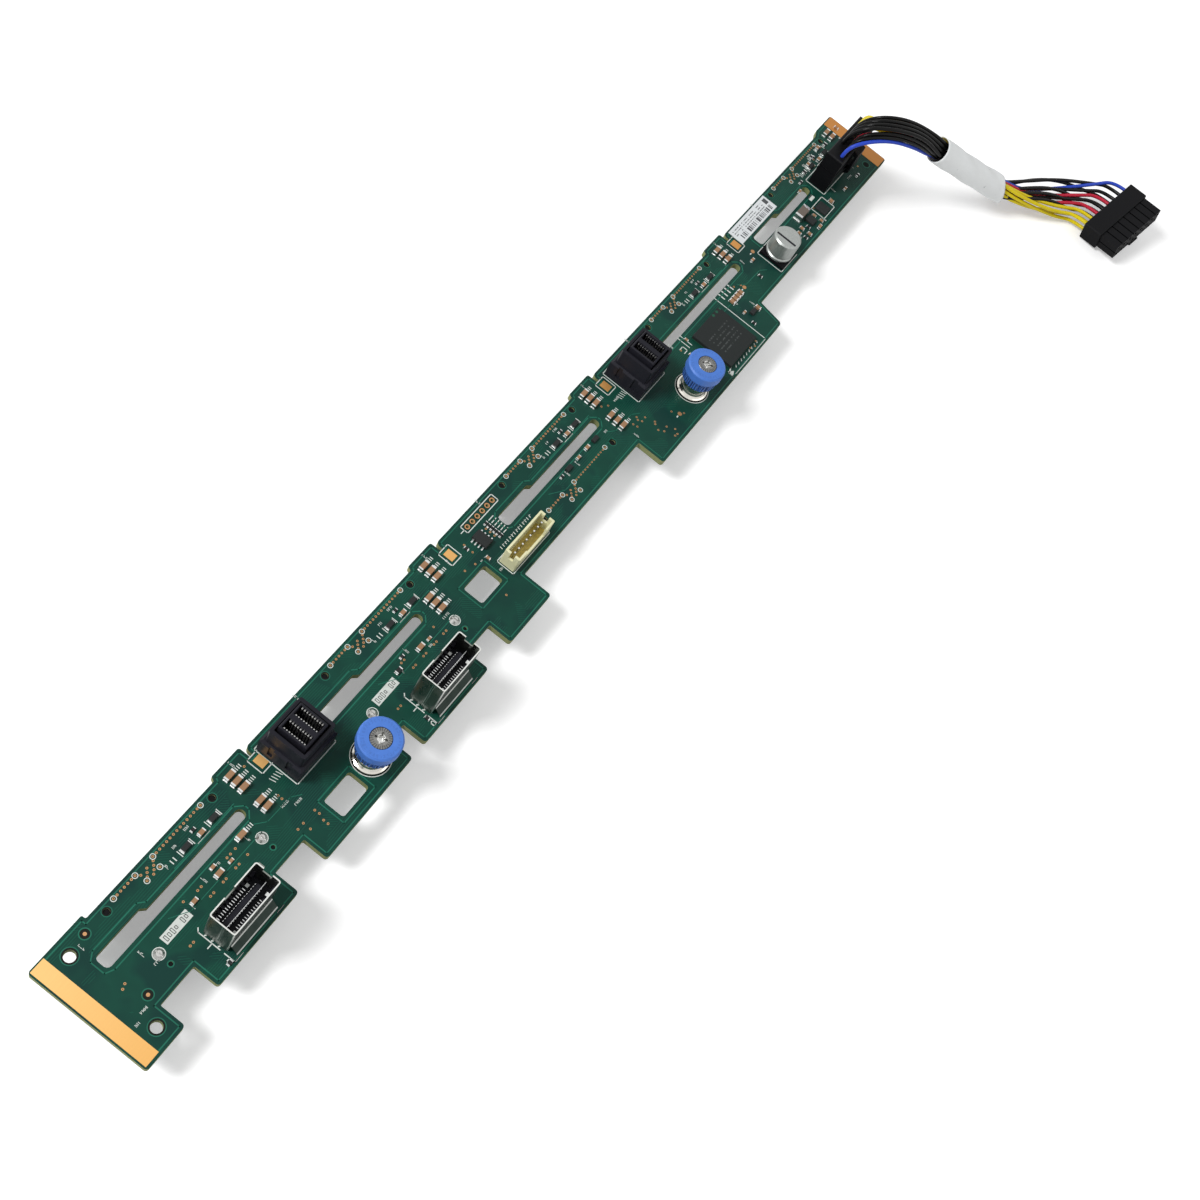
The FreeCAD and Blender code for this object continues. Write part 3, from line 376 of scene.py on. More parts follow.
def knob_blue(name):
    """Blue knob: ribbed lower tier, and a rubbed top with a faint moulded ring."""
    f = Finish(name)
    radius, angle, z = screw_axes(f)
    blue = chosen("knob")
    rubbed = f.noise(2.2, 5)
    tone = f.mix(rubbed, darker(blue, 0.82), darker(blue, 1.12))
    ribs = (angle * 44.0).maths("SINE")
    tier = (z < 10.6) * (radius > 5.0)
    # painted shade in the grooves between the ribs
    tone = f.mix(tier * (ribs < -0.1) * 0.55, tone, darker(blue, 0.3))
    ring = radius.between(4.6, 5.6) * (z > 13.6)
    dashes = (angle * 5.4).part().between(0.1, 0.75) * (f.noise(0.5, 0) > 0.45)
    tone = f.mix(ring * dashes * 0.3, tone, darker(blue, 0.55))
    return f.shade(tone, 0.42 + rubbed * 0.2, f.bump(ribs * tier + rubbed * 0.2, 0.3))


def screw_head(name):
    """Dark steel with radial serrations and a bright recess."""
    f = Finish(name)
    radius, angle, _ = screw_axes(f)
    worn = f.noise(0.7, 5)
    teeth = (angle * 26.0).maths("SINE") > 0.0
    outer = radius > 2.1
    tone = f.mix(worn, (0.10, 0.10, 0.10), (0.34, 0.34, 0.32))
    # painted shade between the serration teeth
    tone = f.mix(teeth * outer * 0.6, tone, (0.05, 0.05, 0.05))
    # painted highlight in the middle recess
    tone = f.mix((radius < 1.2) * 0.8, tone, (0.85, 0.85, 0.83))
    return f.shade(tone, 0.24 + worn * 0.25, f.bump(teeth * outer + worn, 0.08), Metallic=1.0)


def capacitor_skin(name):
    """Bright can with the dark polarity mark on one side of its top."""
    f = Finish(name)
    x, y, z = f.axes()
    top = z > 9.2
    mark = top * x.between(CAPACITOR_X - 2.0, CAPACITOR_X - 1.1) * y.between(-19.6, -11.6)
    brushed = f.noise(0.5, 3, (1, 1, 0.15))
    tone = f.mix(brushed, (0.24, 0.26, 0.25), (0.50, 0.52, 0.50))
    colour = f.mix(mark, tone, (0.02, 0.02, 0.025))
    return f.shade(colour, 0.3 + brushed * 0.2 + mark * 0.2, f.bump(brushed, 0.03), Metallic=0.75)


def chip_black(name):
    """Moulded epoxy, fine and matt."""
    return mottled(name, (0.016, 0.018, 0.018), (0.035, 0.038, 0.038), (0.18, 3), 0.5, (2, 3, 0.2),
                   (0.18, 3, 0.03), Specular_IOR_Level=0.1)


def logic_chip_skin(name):
    """Epoxy with faint rows of worn marking and three green dots."""
    f = Finish(name)
    x, y, z = f.axes()
    speck = f.noise(0.2, 3)
    tone = f.mix(speck, (0.013, 0.016, 0.016), (0.028, 0.032, 0.031))
    rows = ((y + 30.0) * 0.62).part().between(0.2, 0.5) * y.between(-25.5, -17.0)
    dashes = f.noise(0.55, 0, (1, 0.15, 1)) > 0.5
    top = z > CHIP_TOP
    marks = rows * dashes * x.between(265.6, 277.6) * top
    tone = f.mix(marks * 0.4, tone, (0.12, 0.13, 0.13))
    edge = z < 0.4
    tone = f.mix(edge, tone, (0.02, 0.07, 0.045))
    off = y + 13.5
    for dot in (275.6, 277.8, 280.0):
        away = x - dot
        tone = f.mix((away * away + off * off < 0.3) * top, tone, (0.02, 0.09, 0.055))
    return f.shade(tone, 0.5 + speck * 0.15, f.bump(speck, 0.02), Specular_IOR_Level=0.1)


def label_paper(name):
    """White label with generic bars and rows of dashes."""
    f = Finish(name)
    x, y, _ = f.axes()
    bars = f.noise(0.42, 0, (1, 0.001, 1)) > 0.5
    code = bars * x.between(314.5, 335.5) * y.between(-3.5, -1.5)
    dashes = f.noise(0.5, 0, (1, 0.2, 1)) > 0.47
    rows = ((y + 6.0) * 1.05).part().between(0.2, 0.62) * y.between(-1.2, 1.7)
    words = rows * dashes * x.between(313.2, 333.5)
    block = x.between(334.6, 336.4) * y.between(-0.9, 1.4)
    ink = either(code, words * 0.8, block)
    paper = f.mix(f.noise(5, 3), (0.60, 0.63, 0.65), (0.72, 0.74, 0.75))
    return f.shade(f.mix(ink, paper, (0.05, 0.055, 0.06)), 0.55, f.bump(f.noise(1.5), 0.02))


def insulation(name, colour):
    """Extruded wire insulation, slightly glossy and not quite even."""
    return mottled(name, darker(colour, 0.75), colour, (7, 3), 0.2, (4, 4, 0.16), (1.1, 3, 0.03),
                   Specular_IOR_Level=0.14)


def sleeve_white(name):
    """White woven tape sleeve with soft creases and a few scuffs."""
    f = Finish(name)
    weave = f.noise(0.35, 2, (1, 1, 1))
    crease = f.noise(5, 3, (1.2, 0.4, 1))
    # painted shade: darker where the crease noise sinks, in the folds
    tone = f.mix(crease, darker(chosen("sleeve"), 0.88), chosen("sleeve"))
    scuff = f.noise(2.4, 3) > 0.71
    tone = f.mix(scuff * 0.45, tone, (0.25, 0.26, 0.27))
    return f.shade(tone, 0.62 + weave * 0.1, f.bump(crease * 0.8 + weave * 0.2, 0.25))


# How each finish is made, and with what: colour, roughness, then the size and depth of its smudges or
# grain where they aren't usual, and for a plastic the share of the colour in its darker patches
RECIPES = {
    "contact_gold": (metal, (0.78, 0.55, 0.24), 0.25),
    "nickel": (metal, (0.82, 0.79, 0.72), 0.10, 2.0, 0.02),
    "steel": (metal, (0.60, 0.60, 0.58), 0.24, 1.5, 0.04),
    "solder": (metal, (0.86, 0.87, 0.86), 0.18, 0.8, 0.05),
    "copper_dull": (metal, (0.52, 0.29, 0.14), 0.45, 0.8, 0.03),
    "black_nylon": (plastic, (0.004, 0.004, 0.005), 0.38, 0.3, 0.03),
    "connector_black": (plastic, (0.016, 0.016, 0.022), 0.3, 0.5, 0.02),
    "white_nylon": (plastic, (0.72, 0.73, 0.72), 0.4, 0.6, 0.02, 0.9),
    "ceramic_tan": (plastic, (0.36, 0.205, 0.115), 0.4, 0.5, 0.03),
    "ceramic_grey": (plastic, (0.17, 0.14, 0.12), 0.45, 0.5, 0.03),
    "bore_dark": (plastic, (0.012, 0.016, 0.013), 0.7, 0.4, 0.02),
    "wire_black": (insulation, (0.004, 0.004, 0.004)),
    "wire_blue": (insulation, (0.03, 0.075, 0.55)),
    "wire_red": (insulation, (0.55, 0.02, 0.05)),
    "wire_yellow": (insulation, (0.78, 0.62, 0.01)),
}
for skin_maker in (solder_mask, mask_line, silk_print, gold_plate, cage_metal, screw_head, cream_nylon,
                   knob_blue, capacitor_skin, chip_black, logic_chip_skin, label_paper, sleeve_white):
    RECIPES[skin_maker.__name__] = (skin_maker,)
FINISHES = {}


def finish(name):
    """The material of that name, made when it is first asked for."""
    if name not in FINISHES:
        maker, *given = RECIPES[name]
        FINISHES[name] = maker(name, *given)
    return FINISHES[name]


def dress(name, *nodes):
    """Gives solids of the frame a finish."""
    material = finish(name)
    for node in nodes:
        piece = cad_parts[node]
        if not piece.material_slots:
            piece.data.materials.append(material)
        for slot in piece.material_slots:
            slot.material = material


def add_piece(name, mesh, finish_name, smooth=False):
    """A finished piece of the object, at the origin, riding on the board."""
    piece = new_object(name, mesh)
    mesh.materials.clear()
    mesh.materials.append(finish(finish_name))
    for polygon in mesh.polygons:
        polygon.material_index = 0
        polygon.use_smooth = smooth
    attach(piece, BODY)
    return piece


# ---------------------------------------------------------------- flat marks and small blocks
class Layout:
    """Low prisms gathered into one mesh, in board millimetres."""

    def __init__(self):
        self.points = []
        self.faces = []

    def prism(self, outline, low=SUNK, high=MARK, shrink=1.0):
        """Upright prism on an anticlockwise outline of (x, y) points; its top may be smaller."""
        count, base = len(outline), len(self.points)
        middle_x = sum(x for x, _ in outline) / count
        middle_y = sum(y for _, y in outline) / count
        self.points += [(x, y, low) for x, y in outline]
        for x, y in outline:
            self.points.append((middle_x + (x - middle_x) * shrink, middle_y + (y - middle_y) * shrink, high))
        self.faces.append([base + index for index in reversed(range(count))])
        self.faces.append([base + count + index for index in range(count)])
        for index in range(count):
            after = (index + 1) % count
            self.faces.append([base + index, base + after, base + count + after, base + count + index])

    def block(self, x0, y0, x1, y1, low=SUNK, high=MARK, shrink=1.0):
        """Box between two corners."""
        self.prism([(x0, y0), (x1, y0), (x1, y1), (x0, y1)], low, high, shrink)

    def disc(self, x, y, radius, low=SUNK, high=MARK, sides=16):
        """Low round."""
        turns = [2 * math.pi * n / sides for n in range(sides)]
        self.prism([(x + radius * math.cos(a), y + radius * math.sin(a)) for a in turns], low, high)

    def ring(self, x, y, inner, outer, low=SUNK, high=MARK, sides=28):
        """Flat ring."""
        turn = 2 * math.pi / sides
        for n in range(sides):
            corners = ((inner, n), (outer, n), (outer, n + 1), (inner, n + 1))
            outline = [(x + r * math.cos(turn * k), y + r * math.sin(turn * k)) for r, k in corners]
            self.prism(outline, low, high)

    def line(self, x0, y0, x1, y1, width):
        """Straight stroke."""
        length = math.hypot(x1 - x0, y1 - y0)
        dx, dy = (x1 - x0) / length * width / 2, (y1 - y0) / length * width / 2
        self.prism([(x0 - dx + dy, y0 - dy - dx), (x1 + dx + dy, y1 + dy - dx),
                    (x1 + dx - dy, y1 + dy + dx), (x0 - dx - dy, y0 - dy + dx)])

    def row(self, stroke, width, count, step_x, step_y=0.0):
        """A stroke repeated at even steps."""
        x0, y0, x1, y1 = stroke
        for n in range(count):
            x, y = n * step_x, n * step_y
            self.line(x0 + x, y0 + y, x1 + x, y1 + y, width)

    def trail(self, places, width, closed=False, shift=0.0):
        """Strokes from place to place, moved along the board."""
        ends = [*places, places[0]] if closed else places
        for (x0, y0), (x1, y1) in zip(ends, ends[1:]):
            self.line(x0 + shift, y0, x1 + shift, y1, width)

    def frame(self, x0, y0, x1, y1, width):
        """Outline of a rectangle."""
        self.trail([(x0, y0), (x1, y0), (x1, y1), (x0, y1)], width, True)

    def mesh(self, name, on_board=True):
        """The gathered mesh, in metres."""
        result = bpy.data.meshes.new(name)
        places = [at(*p) if on_board else Vector(p) * MM for p in self.points]
        result.from_pydata(places, [], self.faces)
        result.update()
        return result

    def piece(self, name, finish_name, slot):
        """The gathered mesh as a piece of the object."""
        return add_piece(name, self.mesh(name), finish_name)


# ---------------------------------------------------------------- what repeats
REPEAT_INPUTS = {"Places": "Geometry", "Stamp": "Object", "Turn Jitter": "Float", "Seed": "Int",
                 "Finish": "Material"}


def repeat_tree():
    """Geometry Nodes: a stamp on every vertex, turned and sized by the vertex, then made real."""
    tree = bpy.data.node_groups.new("repeat_stamp", "GeometryNodeTree")
    for name, kind in REPEAT_INPUTS.items():
        tree.interface.new_socket(name, in_out="INPUT", socket_type="NodeSocket" + kind)
    tree.interface.new_socket("Pieces", in_out="OUTPUT", socket_type="NodeSocketGeometry")
    given = add_node(tree, "NodeGroupInput").outputs
    stamp = add_node(tree, "GeometryNodeObjectInfo", {}, {"Object": given["Stamp"]})
    turn = add_node(tree, "GeometryNodeInputNamedAttribute", {"data_type": "FLOAT"}, {"Name": "turn"})
    size = add_node(tree, "GeometryNodeInputNamedAttribute", {"data_type": "FLOAT_VECTOR"}, {"Name": "size"})
    jitter = add_node(tree, "FunctionNodeRandomValue", {"data_type": "FLOAT"},
                      {2: -1.0, 3: 1.0, "Seed": given["Seed"]})
    wobble = add_node(tree, "ShaderNodeMath", {"operation": "MULTIPLY_ADD"},
                      {0: jitter.outputs[1], 1: given["Turn Jitter"], 2: turn.outputs["Attribute"]})
    angles = add_node(tree, "ShaderNodeCombineXYZ", {}, {"Z": wobble.outputs[0]})
    placed = add_node(tree, "GeometryNodeInstanceOnPoints", {}, {
        "Points": given["Places"], "Instance": stamp.outputs["Geometry"],
        "Rotation": angles.outputs[0], "Scale": size.outputs["Attribute"],
    })
    real = add_node(tree, "GeometryNodeRealizeInstances", {}, {0: placed.outputs[0]})
    dressed = add_node(tree, "GeometryNodeSetMaterial", {},
                       {"Geometry": real.outputs[0], "Material": given["Finish"]})
    add_node(tree, "NodeGroupOutput", {}, {0: dressed.outputs[0]})
    return tree


def repeated(name, stamp, places, finish_name, jitter=0.0):
    """A stamp at each (x, y, turn in degrees, size) place, as one plain mesh."""
    tree = bpy.data.node_groups.get("repeat_stamp") or repeat_tree()
    seed_mesh = bpy.data.meshes.new(name + "_places")
    seed_mesh.from_pydata([at(*place[:2]) for place in places], [], [])
    turn = seed_mesh.attributes.new("turn", "FLOAT", "POINT")
    turn.data.foreach_set("value", [math.radians(place[2]) for place in places])
    size = seed_mesh.attributes.new("size", "FLOAT_VECTOR", "POINT")
    size.data.foreach_set("vector", [channel for place in places for channel in place[3]])
    holder = new_object(name + "_places", seed_mesh)
    stamp_piece = new_object(name + "_stamp", stamp.mesh(name + "_stamp", False))
    modifier = holder.modifiers.new("repeat", "NODES")
    modifier.node_group = tree
    values = {"Stamp": stamp_piece, "Turn Jitter": jitter, "Seed": seed(), "Finish": finish(finish_name)}
    for item in tree.interface.items_tree:
        if item.in_out == "INPUT" and item.name in values:
            modifier[item.identifier] = values[item.name]
    mesh = made_real(holder)
    holder.modifiers.remove(modifier)
    for item in (holder, stamp_piece):
        bpy.data.objects.remove(item)
    mesh.name = name
    return add_piece(name, mesh, finish_name)


def place(x, y, turn=0.0, size=(1, 1, 1)):
    """One place of a repeated stamp."""
    return (x, y, turn, size)


# ---------------------------------------------------------------- outline of the board
def board_outline(inset):
    """Corners of the board, a little inside its edge."""
    corners = [(BOARD_LEFT, DEEP_EDGE), (BOARD_LEFT, END_TOP), (-4.4, END_TOP), (-4.4, RAIL_TOP)]
    for bay in range(BAYS - 1):
        left = bay * BAY_PITCH
        corners += [(left + 42.3, RAIL_TOP), (left + 43.0, END_TOP), (left + 53.65, END_TOP)]
        corners += [(left + 53.65, 0.4), (left + 54.6, 0.4), (left + 54.6, RAIL_TOP)]
    corners += [(379.0, RAIL_TOP), (382.0, END_TOP), (BOARD_RIGHT, END_TOP), (BOARD_RIGHT, SHALLOW_EDGE)]
    corners += [(295.6, SHALLOW_EDGE), (293.8, DEEP_EDGE), (215.0, DEEP_EDGE), (215.0, SHALLOW_EDGE)]
    corners += [(150.5, SHALLOW_EDGE), (150.5, DEEP_EDGE)]
    for right, left in ((129.6, 118.3), (88.3, 82.4), (45.4, 33.8), (3.05, -9.1)):
        corners += [(right, DEEP_EDGE), (right, NOTCH_EDGE), (left, NOTCH_EDGE), (left, DEEP_EDGE)]
    return offset(corners, inset)


def offset(corners, inset):
    """A clockwise outline moved inwards, or outwards where inset is negative, with mitred corners."""
    moved = []
    count = len(corners)
    for index in range(count):
        here = Vector(corners[index])
        back = (here - Vector(corners[index - 1])).normalized()
        ahead = (Vector(corners[(index + 1) % count]) - here).normalized()
        right_back = Vector((back.y, -back.x))
        right_ahead = Vector((ahead.y, -ahead.x))
        middle = (right_back + right_ahead).normalized()
        reach = inset / max(middle.dot(right_back), 0.45)
        moved.append(tuple(here + middle * reach))
    return moved


SLOTS = ((-10.4, 5.4, 41.3), (74.6, 90.4, 118.0), (159.8, 175.4, 211.5), (245.2, 245.2, 302.7),
         (317.5, 333.6, 354.5))
WINDOWS = ((56.8, -28.9, 67.9, -22.0), (133.5, -19.1, 144.2, -12.0))


def slot_loop(left, neck, right, gap):
    """Chamfered line round a cooling slot."""
    return [
        (left - gap, -9.0 - gap + 0.6), (left - gap, -5.8 + gap - 0.6), (left + 1.2, -5.2 + gap + 0.3),
        (neck + 0.6, -5.2 + gap + 0.3), (neck + 2.4, -6.5 + gap), (right - 1.0, -6.5 + gap),
        (right + gap, -7.4), (right + gap, -8.8), (right - 1.0, -9.6 - gap), (left + 1.2, -9.6 - gap),
    ]


def border_lines():
    """Paler copper lines just inside the edges and round every opening."""
    lines = Layout()
    width = setting("border_width")
    lines.trail(board_outline(1.0), width, True)
    for left, neck, right in SLOTS:
        lines.trail(slot_loop(left, neck, right, 1.2), width, True)
    for x0, y0, x1, y1 in WINDOWS:
        ring = [(x0, y0), (x0, y1), (x1, y1), (x1, y0)]
        lines.trail(offset(ring, -1.1), width, True)
    # long power and ground runs between the bays
    for bay in range(BAYS - 1):
        x = bay * BAY_PITCH
        if bay != 1:
            lines.trail([(x + 40.2, -12.4), (x + 43.0, -14.6), (x + 52.0, -14.8), (x + 54.5, -16.6)], 0.22)
        lines.trail([(x + 8.0, -12.2), (x + 13.0, -15.2), (x + 40.0, -15.2)], 0.2)
        lines.trail([(x + 18.6, -4.9), (x + 41.0, -4.9)], 0.2)
    return lines.piece("mask_border_lines", "mask_line", "board")


# ---------------------------------------------------------------- plated holes
SIGNAL_ROW = [(3.4 + 1.27 * n, 1.2) for n in range(7)]
POWER_ROW = [(17.45 + 1.27 * n, 1.2) for n in range(15)]
STAIR = [(12.0, 0.2), (11.9, -1.9), (12.7, -1.3), (13.5, -0.5), (14.3, 0.3), (14.2, -2.0), (15.1, -1.3),
         (15.9, -0.5), (16.7, 0.4), (16.6, -1.9)]
RINGED = [SIGNAL_ROW[0], SIGNAL_ROW[-1], POWER_ROW[0], POWER_ROW[-1], (11.9, -1.9), (16.6, -1.9)]
LOWER_DROP = 16.7
BAY_VIAS = {                # y, and the x of every hole at that height, for each bay
    0: [(-16.4, 18.8, 20.0, 23.6, 24.7, 28.4, 29.7, 33.0), (-13.0, 17.9, 19.2, 29.0, 30.3, 32.2),
        (-12.2, 13.5), (-20.8, 6.2, 7.4), (-21.9, 46.5, 48.7, 53.4), (-24.3, 48.7), (-23.4, 53.5),
        (-25.4, 52.8), (-26.9, 52.8), (-12.1, 50.2), (-13.4, 50.2), (-0.3, 50.6), (-15.4, -11.7),
        (-14.9, -10.4)],
    1: [(-16.4, 18.7, 19.8, 23.5, 24.7, 28.4, 29.6, 33.0, 34.3), (-13.0, 17.5, 18.8, 32.7), (-20.8, 6.0, 7.2),
        (-3.6, 60.2), (-6.9, 60.1), (-5.1, 69.3), (-6.7, 69.3), (-8.4, 69.3), (-8.9, 53.5), (-9.8, 57.5),
        (-22.7, 55.9)],
    2: [(-18.9, 49.7, 52.6), (-16.7, 52.5), (-22.7, 55.0), (-26.4, 55.0), (-30.0, 56.4), (-6.0, 47.0),
        (-7.4, 49.0)],
    3: [(-30.0, 21.0, 25.0), (-30.8, 23.0), (-13.0, 1.0), (-12.0, 38.4), (-13.4, 41.0), (-3.0, 47.2)],
    4: [(-13.0, 6.4), (-14.6, 8.4), (-6.0, 24.0), (-4.0, 26.0), (-2.4, 28.6), (-1.2, 36.0), (-16.4, 40.6)],
}
POWER_VIAS = ((221.9, -17.6), (224.6, -18.8), (225.7, -22.1), (223.9, -24.7), (227.1, -26.0), (228.5, -28.6),
              (227.5, -30.2), (219.4, -17.4), (233.2, -24.0), (235.9, -27.4))


def via_places():
    """Every small plated hole, in board millimetres."""
    places = []
    for bay in range(BAYS):
        for x, y in SIGNAL_ROW + POWER_ROW + STAIR:
            places.append((x + bay * BAY_PITCH, y))
        places += [(x + bay * BAY_PITCH, y) for y, *row in BAY_VIAS[bay] for x in row]
    places += [(x + 2 * BAY_PITCH, y - LOWER_DROP) for x, y in SIGNAL_ROW + POWER_ROW + STAIR]
    return places + list(POWER_VIAS)


def plated_holes():
    """Gold pads with dark bores, and white rings round the ones that are numbered."""
    pad = Layout()
    pad.disc(0, 0, setting("via_radius"), 0, MARK, 14)
    bore = Layout()
    bore.disc(0, 0, setting("via_radius") * 0.42, MARK, MARK + 0.015, 10)
    places = [place(x, y) for x, y in via_places()]
    repeated("plated_hole_pads", pad, places, "copper_dull")
    repeated("plated_hole_bores", bore, places, "bore_dark")
    ring = Layout()
    ring.ring(0, 0, 0.62, 0.84, 0, MARK + 0.01, 20)
    ringed = [place(x + bay * BAY_PITCH, y) for bay in range(BAYS) for x, y in RINGED]
    ringed += [place(x + 2 * BAY_PITCH, y - LOWER_DROP) for x, y in RINGED]
    repeated("connector_end_rings", ring, ringed, "silk_print")


MOUNTING_X = -13.5
HEADER_X, HEADER_STEP = 150.8, 2.54
SCREW_RINGS = ((75.1, -23.8), (246.3, -23.9))
TEST_POINTS = ((234.6, -26.5), (312.2, -8.6), (296.3, -14.8))


def peg_marks():
    """Rings round the pegs, the fiducials, the mounting holes and the header's pads."""
    dark, pale, white, gold = Layout(), Layout(), Layout(), Layout()
    upper = [(bay * BAY_PITCH, 0.3) for bay in range(BAYS)] + [(170.0, -16.3)]
    for x, y in upper:
        for peg in (x, x + PEG_STEP):
            dark.ring(peg, y, 0.86, 1.2)
            pale.ring(peg, y, 1.2, 1.42)
    for x in (0.0, PEG_STEP, 85.2, 123.7):
        white.ring(x, -16.3, 1.5, 1.72)
        pale.ring(x - 0.05, -20.1, 0.62, 0.95)
    for x, y in ((-7.3, 0.5), (-9.0, -20.9)):
        gold.disc(x, y, 0.5)
        dark.ring(x, y, 0.5, 1.3)
        pale.ring(x, y, 1.3, 1.62)
    for y in (-0.5, -27.6):
        dark.ring(MOUNTING_X, y, 1.62, 2.1)
        pale.ring(MOUNTING_X, y, 2.1, 2.35)
    for x, y in SCREW_RINGS:
        white.ring(x, y, 5.75, 5.98, sides=44)
        dark.ring(x, y, 5.3, 5.7, sides=44)
    for n in range(6):
        gold.ring(HEADER_X + HEADER_STEP * n, -0.6, 0.5, 0.88)
        dark.ring(HEADER_X + HEADER_STEP * n, -0.6, 0.88, 1.1)
    for x, y in TEST_POINTS:
        gold.disc(x, y, 0.75)
        white.block(x - 1.9, y - 0.25, x - 1.1, y + 0.2)
    dark.disc(384.2, -18.3, 1.25)
    pale.ring(384.2, -18.3, 1.25, 1.6)
    dark.piece("hole_clearings", "bore_dark", "board")
    pale.piece("hole_rings", "mask_line", "board")
    white.piece("printed_rings", "silk_print", "paper_white")
    gold.piece("test_points", "copper_dull", "gold")


# ---------------------------------------------------------------- printing
def over_opening(x, y):
    """Whether a place is over a slot or window, or too near one for printing."""
    for left, _, right in SLOTS:
        if left - 2.4 < x < right + 1.0 and -10.6 < y < -5.0:
            return True
    return any(x0 - 2.4 < x < x1 + 0.6 and y0 - 0.6 < y < y1 + 0.6 for x0, y0, x1, y1 in WINDOWS)


NAME_HEIGHT = 0.85


def worn_name(ink, scatter, x, y, count=3, turn=0):
    """A short unreadable part name: a few upright strokes and dashes."""
    if over_opening(x, y):
        return
    for n in range(count):
        step = n * NAME_HEIGHT * 0.8
        px, py = (x, y + step) if turn else (x + step, y)
        wide = NAME_HEIGHT * scatter.uniform(0.35, 0.55)
        top = py + NAME_HEIGHT * 0.7
        ink.line(px, py, px, py + NAME_HEIGHT * 0.75, 0.14)
        if scatter.random() > 0.3:
            ink.line(px, py + NAME_HEIGHT * scatter.choice((0.0, 0.35, 0.7)), px + wide, top, 0.13)
        if scatter.random() > 0.5:
            ink.line(px + wide, py, px + wide, top, 0.13)


CHIP_ROWS = (
    (46.0, (0.8, -1.6, -4.0, -9.5, -11.9)),
    (35.7, (-11.9,)),
    (130.8, (0.9, -1.6, -4.0)),
    (123.8, (-6.4, -8.8, -11.2)),
    (216.0, (0.8, -1.6, -4.0, -10.2, -12.8, -15.3)),
    (301.0, (0.8, -1.6, -4.0)),
    (383.5, (0.8, -1.8)),
)
OUTLINES = (                # the square chip, the capacitor and the power stage
    ((283.6, -9.5), (283.6, -31.9), (263.0, -31.9)), ((259.3, -9.5), (259.3, -14.5)),
    ((260.8, -9.5), (260.8, -14.5)), ((256.0, -14.6), (257.8, -14.6), (257.8, -12.6), (256.0, -12.6)),
    ((313.0, -10.2), (313.0, -21.0), (324.4, -21.0)), ((324.4, -10.2), (313.0, -10.2)),
    ((357.3, -5.4), (357.3, -14.0), (385.4, -14.0), (385.4, -5.4), (357.3, -5.4)),
    ((149.2, -0.6), (147.7, -0.6)),
)
STROKE_ROWS = (             # stroke, width, how many and their step
    ((157.3, -4.0, 159.4, -4.0), 0.3, 6, 0.0, -1.15), ((286.2, -10.0, 286.2, -12.3), 0.5, 4, 2.0),
    ((265.4, -30.6, 266.0, -30.1), 0.3, 9, 1.8),
)
RULER = (152.4, 1.15, 14)   # first tick beside the cream header, step and count
RECTANGLES = ((149.2, -2.0, 165.0, 0.9), (147.9, -20.2, 167.4, -14.0), (347.4, -19.9, 355.6, -13.9))
SOCKET_OUTLINES = (         # from the left of a cage socket
    ((0, -27.0), (0, -20.0), (0.8, -19.3)), ((0, -28.5), (0, -31.8), (3.0, -31.8)),
    ((18.8, -31.8), (16.3, -31.8)), ((18.8, -19.3), (18.8, -21.5)),
)
DUAL_SLOT_OUTLINES = (((16.3, -14.0), (0, -14.0), (0, 0.9), (3.0, 0.9)), ((16.3, -14.0), (16.3, -12.6)))
END_MARKED = ((378.4, -1.6), (374.2, -0.6), (368.4, -1.2), (364.0, -2.2), (359.8, -3.0))
BAY_NAMES = ((27.6, -0.4, 3, 0), (22.2, -1.4, 2, 0), (48.6, 1.6, 3, 1), (-10.4, 1.4, 3, 1), (17.4, -3.8, 2, 1))
NAMES = (                   # x, y and strokes; odd ones run up the board
    (-13.4, -22.9, 4), (-16.4, -24.0, 2), (-2.6, -17.6, 4), (-2.8, -14.0, 3), (14.0, -15.6, 3),
    (20.8, -13.4, 3), (25.8, -12.6, 2), (48.4, -15.2, 4), (51.2, -17.4, 4), (36.0, -14.4, 3), (100.6, -15.4, 3),
    (106.2, -12.6, 3), (112.0, -16.2, 2), (121.8, -13.8, 4), (137.0, -4.6, 3), (144.4, -11.0, 2),
    (161.4, -9.2, 4), (188.2, -13.2, 3), (193.6, -13.4, 3), (199.0, -9.6, 3), (209.8, -12.6, 2),
    (216.6, -21.6, 3), (222.0, -8.2, 4), (254.4, -10.6, 3), (285.0, -7.4, 4), (287.8, -17.0, 3),
    (292.6, -21.4, 3), (305.0, -9.4, 3), (326.4, -12.4, 3), (330.2, -18.4, 4), (335.0, -8.4, 4),
    (344.0, -9.0, 4), (347.0, -21.0, 3), (351.0, -8.8, 3), (386.2, -9.0, 3), (386.4, -4.4, 2),
    (372.0, -17.0, 4), (378.4, -15.6, 3), (362.0, -16.4, 3), (146.2, -16.8, 2),
)
DATE_BOXES = (3.0, 88.0)
DATE_STROKES = (1.5, 1.1, 1.6, 0.8, 0.0, 1.5, 0.9)


def chip_printing(ink):
    """Outlines and pin ticks of the chips, the headers and the parts at the cable end."""
    for trail in OUTLINES:
        ink.trail(trail, setting("silk_width"))
    for rectangle in RECTANGLES:
        ink.frame(*rectangle, setting("silk_width"))
    for row in STROKE_ROWS:
        ink.row(*row)
    first, gap, count = RULER
    for n in range(count):
        x = first + n * gap
        ink.line(x, -12.7, x + 0.1, -11.9, 0.24)
        if n % 3:
            ink.line(x, -11.9, x + 0.6, -12.1, 0.16)
    for x, y in END_MARKED:
        for side in (x - 1.5, x + 1.5):
            ink.line(side, y - 0.7, side, y + 0.7, 0.26)
    ink.prism([(261.0, -32.0), (263.4, -30.9), (261.6, -29.4)])
    ink.line(261.4, -30.2, 264.0, -29.2, 0.45)
    ink.block(350.4, -12.2, 353.2, -10.6)


